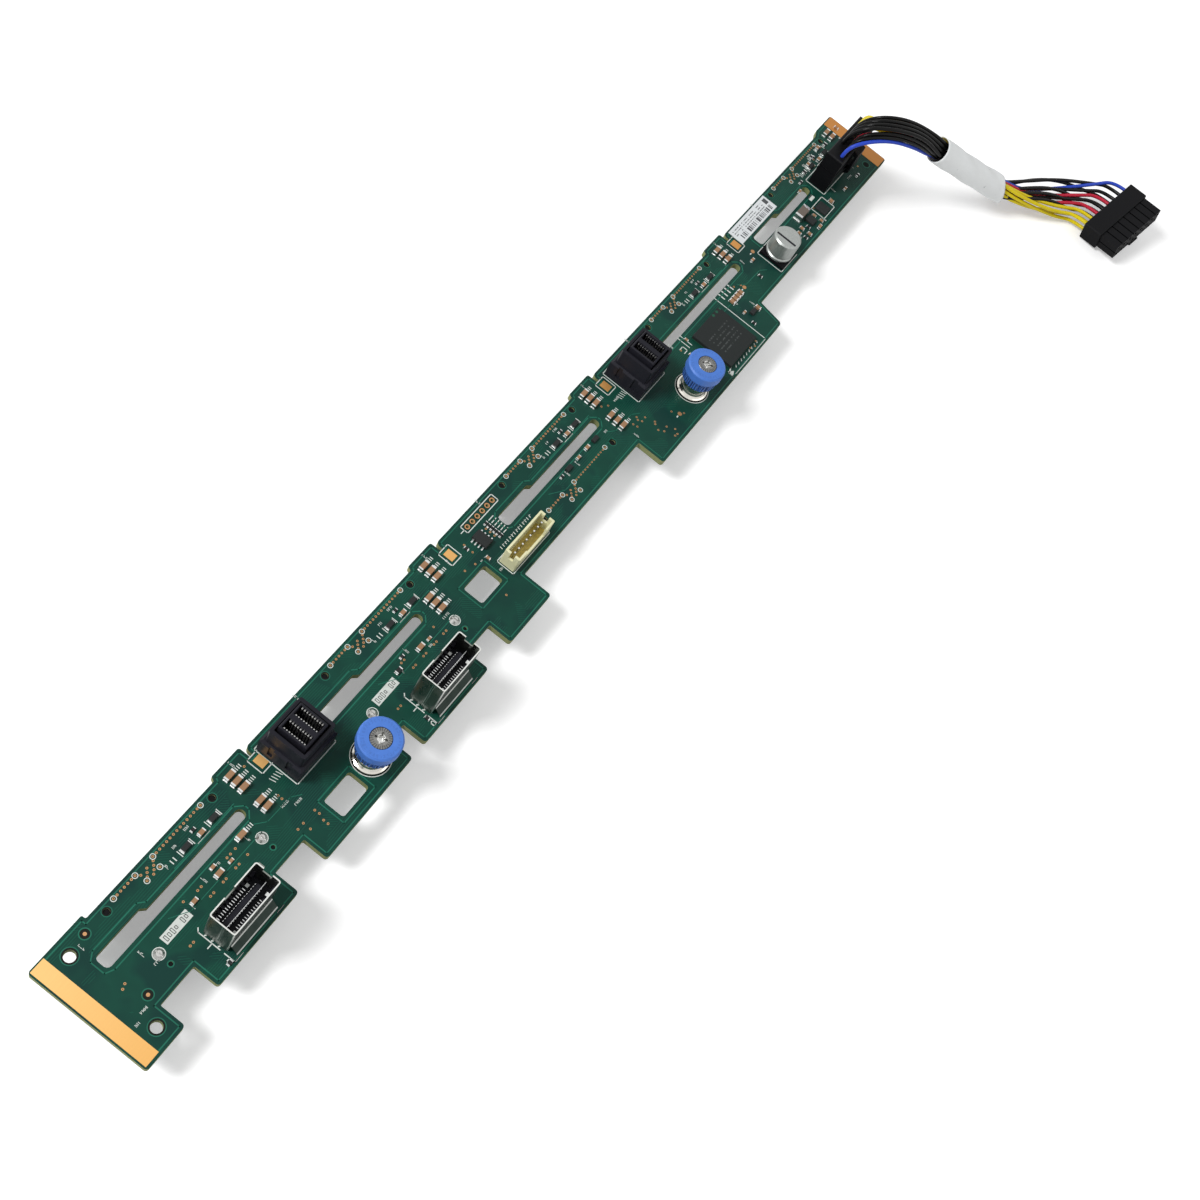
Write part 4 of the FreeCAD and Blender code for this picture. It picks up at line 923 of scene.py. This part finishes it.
def connector_printing(ink):
    """Outlines of the cage sockets and the dual-slot connectors, and the bars beside the capacitors."""
    width = setting("silk_width")
    for left in (53.2, 138.2, 223.2, 308.3):
        ink.frame(left - 1.0, -5.2, left + 3.7, 0.2, width)
    for x, rows in CHIP_ROWS:
        for y in rows:
            ink.row((x + 2.7, y - 0.45, x + 2.7, y + 0.45), 0.28, 3, 0.7)
    for left in (10.0, 95.0):
        for trail in SOCKET_OUTLINES:
            ink.trail(trail, width, shift=left)
        ink.line(left - 1.6, -24.5, left - 0.2, -24.5, 0.3)
        ink.row((left + 0.4, -21.8, left + 1.1, -22.4), 0.35, 3, 0.0, -2.2)
        ink.frame(left - 1.2, -31.6, left - 0.2, -30.2, 0.3)
    for left in (55.9, 227.8):
        for trail in DUAL_SLOT_OUTLINES:
            ink.trail(trail, width, shift=left)
        ink.row((left - 3.6, -7.4, left - 3.2, -9.2), 0.22, 4, 0.9)


def printing():
    """White outlines, ticks and part marks, and the date boxes with plain strokes in them."""
    ink, dark = Layout(), Layout()
    connector_printing(ink)
    chip_printing(ink)
    scatter = random.Random(seed())
    for bay in range(BAYS):
        x = bay * BAY_PITCH
        ink.row((x + 19.3, -2.8, x + 19.3, -3.9), 0.3, 2, 1.1)
        ink.line(x + 27.2, -5.0, x + 31.6, -5.0, 0.25)
        for side in (22.2, 26.7, 32.5, 37.0):
            ink.line(x + side, -4.4, x + side, -2.5, 0.24)
        for left, y, count, turn in BAY_NAMES:
            lowered = left < 0 and bay == 0     # the corner is cut back at the first bay
            worn_name(ink, scatter, x + left, -2.2 if lowered else y, count, turn)
    for x, y, count in NAMES:
        worn_name(ink, scatter, x, y, count, count % 2)
    for x0 in DATE_BOXES:
        ink.block(x0, -16.4, x0 + 9.4, -13.7, high=MARK - 0.01)
        for n, tall in enumerate(DATE_STROKES):
            if tall:
                x = x0 + 0.7 + 1.2 * n
                dark.frame(x, -15.1 - tall / 2, x + 0.6, -15.1 + tall / 2, 0.16)
    dark.piece("date_box_strokes", "bore_dark", "board")
    ink.piece("printed_marks", "silk_print", "paper_white")


# ---------------------------------------------------------------- small soldered parts
def chip_stamps():
    """Body and metal ends of a chip part, one unit long, wide and high."""
    body = Layout()
    body.block(-0.34, -0.48, 0.34, 0.48, 0.06, 0.96, 0.97)
    ends = Layout()
    for side in (-1, 1):
        near, far = sorted((side * 0.3, side * 0.44))
        ends.block(near, -0.5, far, 0.5, 0, 1, 0.93)
        near, far = sorted((side * 0.42, side * 0.5))
        ends.block(near, -0.54, far, 0.54, 0, 0.18, 0.8)
    return body, ends


JITTER = 0.02               # turn of a chip part, either way
# Usual length, width and height of a chip part
SMALL, SHORT, MIDDLE, LARGE = (1.8, 0.9, 0.5), (1.7, 0.9, 0.5), (2.0, 1.0, 0.7), (3.2, 1.5, 1.2)
# Chip parts: x, y, turn and size
CAPACITORS = (
    (15.2, -14.2, 0, (2.4, 1.2, 1.0)), (24.5, -14.2, 0, LARGE), (24.8, -11.9, 0, (2.0, 1.0, 0.6)),
    (29.0, -14.3, 0, SMALL), (109.8, -14.1, 0, LARGE), (113.8, -14.3, 0, SMALL),
    (195.5, -11.5, 0, (2.0, 1.0, 0.8)), (200.5, -11.4, 0, (2.4, 1.2, 0.9)), (146.8, -11.4, 90, SHORT),
    (257.0, -16.6, 90, SMALL), (261.0, -12.0, 90, (1.6, 0.8, 0.5)), (292.4, -23.0, 90, (2.4, 1.3, 0.9)),
    (287.0, -20.6, 0, SHORT), (333.6, -16.6, 90, SMALL), (336.2, -16.2, 90, MIDDLE), (336.4, -19.6, 90, MIDDLE),
    (345.4, -16.4, 90, SMALL), (345.6, -19.6, 90, SMALL), (342.4, -20.6, 0, (2.4, 1.2, 0.8)),
    (329.0, -10.8, 0, (2.4, 1.2, 0.8)), (356.6, -17.6, 90, (2.2, 1.1, 0.9)), (370.6, -3.8, 0, MIDDLE),
    (366.4, -18.4, 0, MIDDLE), (308.6, -10.6, 0, MIDDLE), (374.2, -0.6, 0, (2.4, 1.3, 1.0)),
    (364.0, -2.2, 0, (2.4, 1.3, 1.0)), (389.6, -0.6, 90, (2.0, 1.1, 0.7)), (350.4, -6.6, 0, (2.0, 1.0, 0.6)),
)
RESISTORS = (
    (100.0, -13.9, 0, (2.6, 1.3, 0.8)), (104.0, -12.0, 0, SMALL), (186.0, -11.6, 0, SHORT),
    (144.6, -4.8, 90, SHORT), (259.6, -17.6, 90, SMALL), (285.8, -25.4, 90, SHORT), (333.8, -19.4, 90, SMALL),
    (338.8, -17.6, 90, SMALL), (376.2, -18.6, 0, MIDDLE), (305.0, -16.4, 90, SMALL),
    (378.4, -1.6, 0, (2.0, 1.1, 0.6)), (368.4, -1.2, 0, (2.0, 1.1, 0.6)), (359.8, -3.0, 0, (2.0, 1.1, 0.6)),
    (354.4, -4.6, 0, (2.0, 1.0, 0.6)), (9.0, -31.0, 0, (1.8, 1.0, 0.6)), (94.2, -28.6, 90, (1.8, 1.0, 0.6)),
)
SMALL_CHIPS = ((24.5, -3.4), (34.8, -3.5))      # from the first peg of a bay


def small_parts():
    """Chip capacitors and resistors with bright ends, in place of the plain blocks."""
    body, ends = chip_stamps()
    lefts = [bay * BAY_PITCH for bay in range(BAYS)]
    tan = [place(x, y, 0, (4.0, 1.6, 1.5)) for x, rows in CHIP_ROWS for y in rows]
    tan += [place(left + 29.8, -3.8, 0, (2.6, 1.3, 1.0)) for left in lefts]
    tan += [place(*part) for part in CAPACITORS]
    tan += [place(287.2 + 1.9 * n, -15.0, 90, (2.6, 1.3, 0.9)) for n in range(4)]
    dark = [place(left + 29.0, -1.7, 0, SHORT) for left in lefts]
    dark += [place(*part) for part in RESISTORS]
    dark += [place(155.6, -4.0 - 1.15 * n, 0, (1.7, 0.8, 0.5)) for n in range(6)]
    small_chips = [place(left + x, y, 0, (3.7, 1.5, 0.6)) for left in lefts for x, y in SMALL_CHIPS]
    coil = [place(341.1, -12.6, 0, (7.6, 3.2, 2.6))]
    bodies = repeated("ceramic_bodies", body, tan, "ceramic_tan", JITTER)
    repeated("resistor_bodies", body, dark, "chip_black", JITTER)
    repeated("coil_body", body, coil, "ceramic_grey")
    repeated("chip_ends", ends, tan + coil, "solder", JITTER)
    repeated("resistor_ends", ends, dark + small_chips, "solder", JITTER)
    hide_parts("ceramic_chips")


LEDGE_TOP = 10.39           # of the ledges inside a cage socket
TONGUE_TOP = 11.59
CONTACT_STEP = 0.8


def socket_details():
    """Bright contact ends on the ledges and card tongue of the cage sockets, and their white tabs."""
    bright, white = Layout(), Layout()
    for left in (SOCKET_LEFT, SOCKET_LEFT + SOCKET_STEP):
        for count, start, wide, low, high in ((14, 1.3, 0.2, -22.9, -22.0), (12, 3.4, 0.15, -27.8, -27.1)):
            for n in range(count):
                x = left + start + CONTACT_STEP * n
                bright.block(x, low, x + wide, high, LEDGE_TOP, LEDGE_TOP + 0.07)
        bright.block(left + 1.0, -25.62, left + 16.4, -25.5, TONGUE_TOP, TONGUE_TOP + 0.07)
        for x, low, high in ((12.6, -22.9, -22.0), (1.6, -28.1, -27.3), (14.0, -28.1, -27.3)):
            white.block(left + x, low, left + x + 1.0, high, LEDGE_TOP, LEDGE_TOP + 0.21)
    bright.piece("socket_contact_ends", "solder", "contact_gold")
    white.piece("socket_tabs", "white_nylon", "cream_nylon")


# ---------------------------------------------------------------- harness
# Middle of the bundle, turn of its rows, 0 spread to 1 tied to 2 spread again, and twist
STATIONS = (
    (371.4, -9.85, 15.8, 0, 0.0, 0),
    (371.4, -9.85, 20.0, 0, 0.0, 0),
    (372.4, -13.9, 25.2, 0, 0.4, 0),
    (378.2, -20.6, 26.3, 20, 0.8, 0),
    (386.4, -28.0, 22.8, 40, 0.92, 0),
    (395.0, -36.2, 16.9, 45, 1.0, 40),
    (408.2, -49.4, 7.5, 44, 1.0, 112),
    (421.6, -63.4, -0.9, 43, 1.0, 170),
    (431.6, -72.8, -4.6, 40, 1.16, 180),
    (442.0, -81.4, -5.8, 18, 1.46, 188),
    (452.2, -91.0, -5.6, -13, 1.92, 194),
)
POWER_PITCH = 3.0
BUNDLE_PITCH = 1.79
FAR_PITCH = 3.5
FAR_LENGTH = 29.2
FAR_HEIGHT = 8.5
FAR_CORNER = (443.2, -100.6, -12.12)
FAR_YAW, FAR_NOSE_UP, FAR_ROLL_UP = -13.0, 10.0, 14.0
FAR_STRAIGHT = 6.4
# Name, column and row in the plugs, place in the tied bundle in pitches across and up it, and in the
# fan by how much it is moved out from the middle (above 1) or in, and how far it rides over the others.
# The yellow and red ones run below and behind the black ones until the sleeve turns them over.
WIRES = (
    ("blue", 0, 1, (-1.5, -1.5), 0.75, -2.5),
    ("black_1", 1, 1, (-1.5, -0.5), 1.35, 2.4),
    ("black_2", 2, 0, (-1.5, 1.5), 1.7, 6.0),
    ("black_3", 2, 1, (-1.5, 0.5), 1.0, 1.2),
    ("black_4", 3, 0, (-0.5, 1.5), 1.2, 6.4),
    ("red_a", 3, 1, (-0.5, -1.5), 0.7, -1.2),
    ("black_5", 4, 0, (0.5, 1.5), 0.8, 6.0),
    ("black_6", 4, 1, (-0.5, 0.5), 1.0, 0.8),
    ("black_7", 5, 0, (1.5, 1.5), 1.0, 5.4),
    ("red_b", 5, 1, (0.0, -0.5), 0.8, -1.2),
    ("yellow_a", 6, 0, (1.5, 0.45), 1.0, 0.0),
    ("yellow_b", 6, 1, (0.6, -1.5), 1.0, 0.0),
    ("yellow_c", 7, 0, (1.5, -0.6), 1.0, 0.0),
    ("yellow_d", 7, 1, (1.55, -1.6), 1.0, 0.0),
)
YELLOW_COLUMNS = (6, 7)
SOONER = 2.0                # how much sooner the yellow wires come together than the others
SOONER_UNTIL = 4            # the station where the others have caught up
FAN_FROM = 8                # the station where the fan begins


def far_turn():
    """Turn of the harness connector as it lies."""
    yaw = Matrix.Rotation(math.radians(FAR_YAW), 3, "Z")
    nose = Matrix.Rotation(math.radians(-FAR_NOSE_UP), 3, "X")
    roll = Matrix.Rotation(math.radians(-FAR_ROLL_UP), 3, "Y")
    return yaw @ nose @ roll


def to_far(point):
    """A point of the harness connector's own, in board millimetres."""
    return far_turn() @ Vector(point) + Vector(FAR_CORNER)


def lane(column, row, tied_place, share):
    """Offset of a wire across and up the bundle, from spread to tied to spread again."""
    up = 1 if row == 0 else -1
    plug = ((column - 3.5) * POWER_PITCH, up * POWER_PITCH / 2)
    tied = tuple(steps * BUNDLE_PITCH for steps in tied_place)
    far = ((column - 3.5) * FAR_PITCH, up * FAR_PITCH / 2)
    start, end = (plug, tied) if share <= 1 else (tied, far)
    part = share if share <= 1 else share - 1
    return tuple(a + (b - a) * part for a, b in zip(start, end))


def station_axes(index):
    """Directions across and up the bundle at a station."""
    angle = math.radians(STATIONS[index][3])
    across = Vector((math.cos(angle), math.sin(angle), 0))
    if index < 2:
        return across, Vector((0, 1, 0))
    centres = [Vector(station[:3]) for station in STATIONS]
    centres.append(to_far((FAR_LENGTH / 2, 0, FAR_HEIGHT / 2)))
    return across, (centres[index + 1] - centres[index - 1]).cross(across).normalized()


def wire_route(column, row, tied_place, fan_squeeze, fan_lift):
    """Points of one wire's route, from the plug to the harness connector."""
    points = []
    for index, station in enumerate(STATIONS):
        across, up = station_axes(index)
        sooner = column in YELLOW_COLUMNS and index < SOONER_UNTIL
        share = min(1.0, station[4] * SOONER) if sooner else station[4]
        a, b = lane(column, row, tied_place, share)
        twist = math.radians(station[5])
        right = a * math.cos(twist) - b * math.sin(twist)
        rise = a * math.sin(twist) + b * math.cos(twist)
        squeeze = fan_squeeze if index >= FAN_FROM else 1.0
        lift = fan_lift if FAN_FROM <= index < len(STATIONS) - 1 else 0.0
        points.append(Vector(station[:3]) + across * right * squeeze + up * rise + Vector((0, 0, lift)))
    x = FAR_LENGTH / 2 - (column - 3.5) * FAR_PITCH
    z = FAR_HEIGHT / 2 - (FAR_PITCH / 2 if row == 0 else -FAR_PITCH / 2)
    points.append(to_far((x, FAR_STRAIGHT, z)))
    points.append(to_far((x, 0, z)))
    return [at(*point) for point in points]


def smooth_curve(name, points, radius):
    """Open NURBS curve with those control points."""
    curve = bpy.data.curves.new(name, "CURVE")
    curve.dimensions = "3D"
    curve.resolution_u = 10
    curve.render_resolution_u = 10
    curve.bevel_depth = radius
    curve.bevel_resolution = 4
    curve.use_fill_caps = radius > 0
    spline = curve.splines.new("NURBS")
    spline.points.add(len(points) - 1)
    for control, point in zip(spline.points, points):
        control.co = (*point, 1.0)
    spline.order_u = 3
    spline.use_endpoint_u = True
    return curve


def curve_line(points):
    """Points along the smooth curve of a route."""
    curve = smooth_curve("line", points, 0)
    holder = new_object("line", curve)
    mesh = made_real(holder)
    line = [vertex.co.copy() for vertex in mesh.vertices]
    bpy.data.objects.remove(holder)
    bpy.data.meshes.remove(mesh)
    return line


def harness():
    """Every wire as a smooth curve between the plug and the harness connector."""
    diameter = setting("wire_diameter") * MM
    for name, *route in WIRES:
        points = wire_route(*route)
        curve = smooth_curve(f"harness_{name}", points, diameter / 2)
        piece = new_object(f"harness_{name}", curve)
        kind = "wire_" + name.split("_")[0]
        curve.materials.append(finish(kind))
        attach(piece, BODY)
        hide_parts(f"wire_{name}")
        line = curve_line(points)


def skin(rings):
    """Faces between rings of points that follow each other along a tube."""
    sides = len(rings[0])
    faces = []
    for ring in range(len(rings) - 1):
        for n in range(sides):
            a, b = ring * sides + n, ring * sides + (n + 1) % sides
            faces.append([a, a + sides, b + sides, b])
    return faces


SLEEVE_FROM, SLEEVE_TO = 5, 7       # stations between which the sleeve runs
SLEEVE_SLANT = 0.7          # slope of the cut at the sleeve's far end
SLANT_FROM = 0.8            # share of its length where the slant begins
SLEEVE_WALL = 0.35 * MM
SLEEVE_STEP = 0.8 * MM      # between the rings of its mesh
SLEEVE_SIDES = 48
CREASE = 0.012              # height of a crease, as a share of the radius


def sleeve():
    """White sleeve round the tied wires: an uneven, slightly creased tube with open ends."""
    line = curve_line([at(*station[:3]) for station in STATIONS[SLEEVE_FROM:SLEEVE_TO + 1]])
    dense = []
    for a, b in zip(line, line[1:]):
        steps = max(1, round((b - a).length / SLEEVE_STEP))
        dense += [a.lerp(b, n / steps) for n in range(steps)]
    dense.append(line[-1])
    scatter = random.Random(seed())
    waves = [(scatter.randint(2, 5), scatter.uniform(0.5, 2.2), scatter.uniform(0, 6.3)) for _ in range(6)]
    radius = setting("sleeve_radius") * MM
    rings = []
    for index, here in enumerate(dense):
        ahead = dense[min(index + 1, len(dense) - 1)] - dense[max(index - 1, 0)]
        ahead.normalize()
        side = ahead.cross(Vector((0, 0, 1))).normalized()
        up = side.cross(ahead)
        along = index / (len(dense) - 1)
        cut_back = SLEEVE_SLANT * radius * max(0, along - SLANT_FROM) / (1 - SLANT_FROM)
        ring = []
        for n in range(SLEEVE_SIDES):
            angle = 2 * math.pi * n / SLEEVE_SIDES
            crease = sum(math.sin(k * angle + rate * 9 * along + phase) for k, rate, phase in waves)
            out = side * math.cos(angle) + up * math.sin(angle)
            ring.append(here + out * radius * (1 + CREASE * crease) - ahead * cut_back * math.sin(angle))
        rings.append(ring)
    mesh = bpy.data.meshes.new("creased_sleeve")
    mesh.from_pydata(sum(rings, []), [], skin(rings))
    piece = add_piece("creased_sleeve", mesh, "sleeve_white", smooth=True)
    wall = piece.modifiers.new("wall", "SOLIDIFY")
    wall.thickness = SLEEVE_WALL
    wall.offset = -1
    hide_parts("wire_sleeve")


# ---------------------------------------------------------------- lift springs
SPRING_WIRE = 0.3 * MM      # radius of the wire
SPRING_TURNS = 6
TURN_STEPS, WIRE_SIDES = 32, 10


def lift_spring(number):
    """Round-wire coil under a knob, which closes up as the knob is pressed."""
    node, joint_name = f"lift_spring_{number}", f"press_{number}"
    low, high = (Vector(corner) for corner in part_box(node))
    middle = (low + high) / 2
    coil = (high.x - low.x) / 2 - SPRING_WIRE
    rise = high.z - low.z - 2 * SPRING_WIRE
    steps = SPRING_TURNS * TURN_STEPS
    rings = []
    for step in range(steps + 1):
        turn = 2 * math.pi * step / TURN_STEPS
        outward = Vector((math.cos(turn), math.sin(turn), 0))
        centre = Vector((middle.x, middle.y, low.z + SPRING_WIRE + rise * step / steps)) + outward * coil
        angles = [2 * math.pi * side / WIRE_SIDES for side in range(WIRE_SIDES)]
        outs = [outward * math.cos(a) + Vector((0, 0, math.sin(a))) for a in angles]
        rings.append([centre + out * SPRING_WIRE for out in outs])
    first, last = range(WIRE_SIDES), range(steps * WIRE_SIDES, (steps + 1) * WIRE_SIDES)
    mesh = bpy.data.meshes.new(f"spring_coil_{number}")
    mesh.from_pydata(sum(rings, []), [], skin(rings) + [list(first), list(reversed(last))])
    piece = add_piece(f"spring_coil_{number}", mesh, "steel", smooth=True)
    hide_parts(node)
    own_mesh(piece)


# ---------------------------------------------------------------- stage
CAMERA_PLACE = (-0.27184, -0.04091, 0.40728)
CAMERA_TURN = (0.46442, -0.32078, -0.96738)
CAMERA_LENS = 46.65
FLOOR_REACH = 3.0
FLOOR_DROP = -0.0002
FLOOR_GLOW = 0.3            # added for the camera alone, so that the floor is near white
WORLD_LIGHT = 0.42
# Name, place, what it is aimed at, size and power of each lamp
LAMPS = (("key_lamp", (-0.75, 0.75, 1.2), (0.05, 0.0, 0.0), 0.45, 21.0),
         ("fill_lamp", (0.5, -0.9, 1.2), (0.1, 0.0, 0.0), 1.1, 3.0))


def add_floor():
    """Pale matt floor, lifted to white for the camera, which keeps the object's shadow."""
    mesh = bpy.data.meshes.new("floor")
    corners = ((-1, -1), (1, -1), (1, 1), (-1, 1))
    mesh.from_pydata([(x * FLOOR_REACH, y * FLOOR_REACH, FLOOR_DROP) for x, y in corners], [], [(0, 1, 2, 3)])
    paint = bpy.data.materials.new("floor_paint")
    paint.use_nodes = True
    tree = paint.node_tree
    inputs = tree.nodes["Principled BSDF"].inputs
    inputs["Base Color"].default_value = (0.9, 0.9, 0.9, 1)
    inputs["Roughness"].default_value = 0.9
    inputs["Specular IOR Level"].default_value = 0.0
    inputs["Emission Strength"].default_value = 1.0
    path = add_node(tree, "ShaderNodeLightPath").outputs
    glow = add_node(tree, "ShaderNodeMix", {"data_type": "RGBA"},
                    {0: path["Is Camera Ray"], 6: (0, 0, 0, 1), 7: (FLOOR_GLOW, FLOOR_GLOW, FLOOR_GLOW, 1)})
    tree.links.new(glow.outputs[2], inputs["Emission Color"])
    mesh.materials.append(paint)
    new_object("floor", mesh)


def add_world():
    """White surroundings: plain light on the object, full white to the camera and in reflections."""
    world = bpy.data.worlds.new("surroundings")
    bpy.context.scene.world = world
    world.use_nodes = True
    tree = world.node_tree
    path = add_node(tree, "ShaderNodeLightPath").outputs
    seen = add_node(tree, "ShaderNodeMath", {"operation": "MAXIMUM"},
                    {0: path["Is Camera Ray"], 1: path["Is Glossy Ray"]})
    strength = add_node(tree, "ShaderNodeMapRange", {},
                        {"Value": seen.outputs[0], "To Min": WORLD_LIGHT, "To Max": 1.0})
    sky = tree.nodes["Background"]
    tree.links.new(strength.outputs[0], sky.inputs["Strength"])
    sky.inputs["Color"].default_value = (1, 1, 1, 1)


def stage():
    """Pale floor, white surroundings, soft lamps and the camera."""
    scene = bpy.context.scene
    scene.view_settings.view_transform = "Standard"
    add_floor()
    add_world()
    for name, spot, aim, size, power in LAMPS:
        lamp = bpy.data.lights.new(name, "AREA")
        lamp.size = size
        lamp.energy = power
        piece = new_object(name, lamp)
        piece.location = spot
        piece.rotation_euler = (Vector(aim) - Vector(spot)).to_track_quat("-Z", "Y").to_euler()
    lens = bpy.data.cameras.new("camera")
    lens.lens = CAMERA_LENS
    lens.sensor_width = 36.0
    lens.clip_start = 0.01
    scene.camera = new_object("camera", lens)
    scene.camera.location = CAMERA_PLACE
    scene.camera.rotation_euler = Euler(CAMERA_TURN, "XYZ")


# ---------------------------------------------------------------- add-on
def length_property(name, words, value):
    """A length that can be changed, from millimetres."""
    return FloatProperty(name=name, description=words, subtype="DISTANCE", unit="LENGTH", min=0, precision=5,
                         default=value * MM)


def colour_property(name, words, value):
    """A colour that can be changed."""
    return FloatVectorProperty(name=name, description=words, subtype="COLOR", min=0, max=1,
                               default=value)


class BackplaneSizes(bpy.types.PropertyGroup):
    """Sizes that can be changed."""

    wire_diameter: length_property("Wire diameter", "Outside of a wire's insulation", 1.4)
    via_radius: length_property("Hole pad radius", "Copper round a small plated hole", 0.36)
    silk_width: length_property("Print width", "Width of the white outlines", 0.3)
    border_width: length_property("Border width", "Width of the paler line at the edges", 0.34)
    sleeve_radius: length_property("Sleeve radius", "Outside of the white sleeve", 5.0)
    seed: IntProperty(name="Seed", description="Seed of everything scattered", default=7, min=0)


class BackplaneColours(bpy.types.PropertyGroup):
    """Colours that can be changed."""

    mask: colour_property("Mask", "Solder mask over bare laminate", (0.0045, 0.038, 0.030))
    mask_light: colour_property("Mask over copper", "Solder mask over copper", (0.006, 0.062, 0.040))
    silk: colour_property("Print", "White ink", (0.70, 0.74, 0.70))
    gold_pale: colour_property("Gold, left", "Gold plate at the left end", (0.86, 0.53, 0.195))
    # painted shade: the gold's colour at the cable end, darker for the shade of the plug and wires
    gold_in_shade: colour_property("Gold, right", "Gold plate at the cable end", (0.50, 0.19, 0.035))
    knob: colour_property("Knob", "Blue of the thumbscrews", (0.055, 0.17, 0.56))
    sleeve: colour_property("Sleeve", "White of the harness sleeve", (0.84, 0.86, 0.86))


DRESSED = {                 # finish of every solid that stays as it is
    "board": {"solder_mask": "circuit_board", "gold_plate": "gold_lands"},
    "parts": {"chip_black": "chip_packages", "solder": "chip_leads", "steel": "board_locks",
              "logic_chip_skin": "logic_chip", "black_nylon": "capacitor_base",
              "capacitor_skin": "capacitor_can", "label_paper": "label_sticker"},
    "connectors": {
        "contact_gold": "drive_connector_contacts power_pins far_terminals",
        "solder": "cage_contacts sideband_pins",
        "steel": "dual_slot_contacts",
        "cage_metal": "cable_cage_1 cable_cage_2",
        "connector_black": "cage_insert_1 cage_insert_2 dual_slot_housing_1 dual_slot_housing_2",
        "black_nylon": "power_header power_plug far_connector",
        "cream_nylon": "sideband_header",
    },
    "thumbscrews": {"knob_blue": "thumb_knob_1 thumb_knob_2", "nickel": "screw_ferrule_1 screw_ferrule_2",
                    "screw_head": "captive_screw_1 captive_screw_2"},
}


def drive_connectors():
    """Black housings of the connectors on the lower side."""
    names = [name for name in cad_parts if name.startswith("drive_connector_")]
    dress("black_nylon", *[name for name in names if not name.endswith("contacts")])


def lift_springs():
    """Both springs."""
    for number in (1, 2):
        lift_spring(number)


def step(name, label, words, *builders):
    """An operator that dresses its solids and runs its builders."""
    def execute(self, context):
        for finish_name, nodes in DRESSED.get(name, {}).items():
            dress(finish_name, *nodes.split())
        for build in builders:
            build()
        return {"FINISHED"}

    members = {"__doc__": words, "bl_idname": f"backplane.{name}", "bl_label": label, "execute": execute}
    return type(f"BACKPLANE_OT_{name}", (bpy.types.Operator,), members)


OPERATORS = (
    step("stage", "Stage", "Add the floor, the lamps and the camera", stage),
    step("harness", "Harness", "Add the wires and their sleeve", harness, sleeve),
    step("board", "Board", "Finish the laminate, its gold lands and the lines round its edges", border_lines),
    step("holes", "Plated holes", "Add the plated holes, rings and test points", plated_holes, peg_marks),
    step("printing", "Printing", "Add the white printing", printing),
    step("parts", "Soldered parts", "Add the small parts, and finish the chips and the label", small_parts),
    step("connectors", "Connectors", "Finish the drive connectors, cable sockets and headers",
         drive_connectors, socket_details),
    step("thumbscrews", "Thumbscrews", "Finish the captive thumbscrews and add their springs", lift_springs),
)


class BACKPLANE_PT_panel(bpy.types.Panel):
    """Lists the settings, and the steps in their order"""

    bl_label = "Backplane board"
    bl_space_type = "VIEW_3D"
    bl_region_type = "UI"
    bl_category = "Backplane"

    def draw(self, context):
        for settings in (context.scene.backplane_sizes, context.scene.backplane_colours):
            for name in settings.__annotations__:
                self.layout.prop(settings, name)
        for operator in OPERATORS:
            self.layout.operator(operator.bl_idname)


CLASSES = (BackplaneSizes, BackplaneColours) + OPERATORS + (BACKPLANE_PT_panel,)


def register():
    for item in CLASSES:
        bpy.utils.register_class(item)
    bpy.types.Scene.backplane_sizes = PointerProperty(type=BackplaneSizes)
    bpy.types.Scene.backplane_colours = PointerProperty(type=BackplaneColours)


def unregister():
    del bpy.types.Scene.backplane_colours
    del bpy.types.Scene.backplane_sizes
    for item in reversed(CLASSES):
        bpy.utils.unregister_class(item)


def main():
    """Builds every piece, then writes the sizes before and after."""
    register()
    for operator in OPERATORS:
        name = operator.bl_idname.split(".")[1]
        getattr(bpy.ops.backplane, name)()


if __name__ == "__main__":
    main()
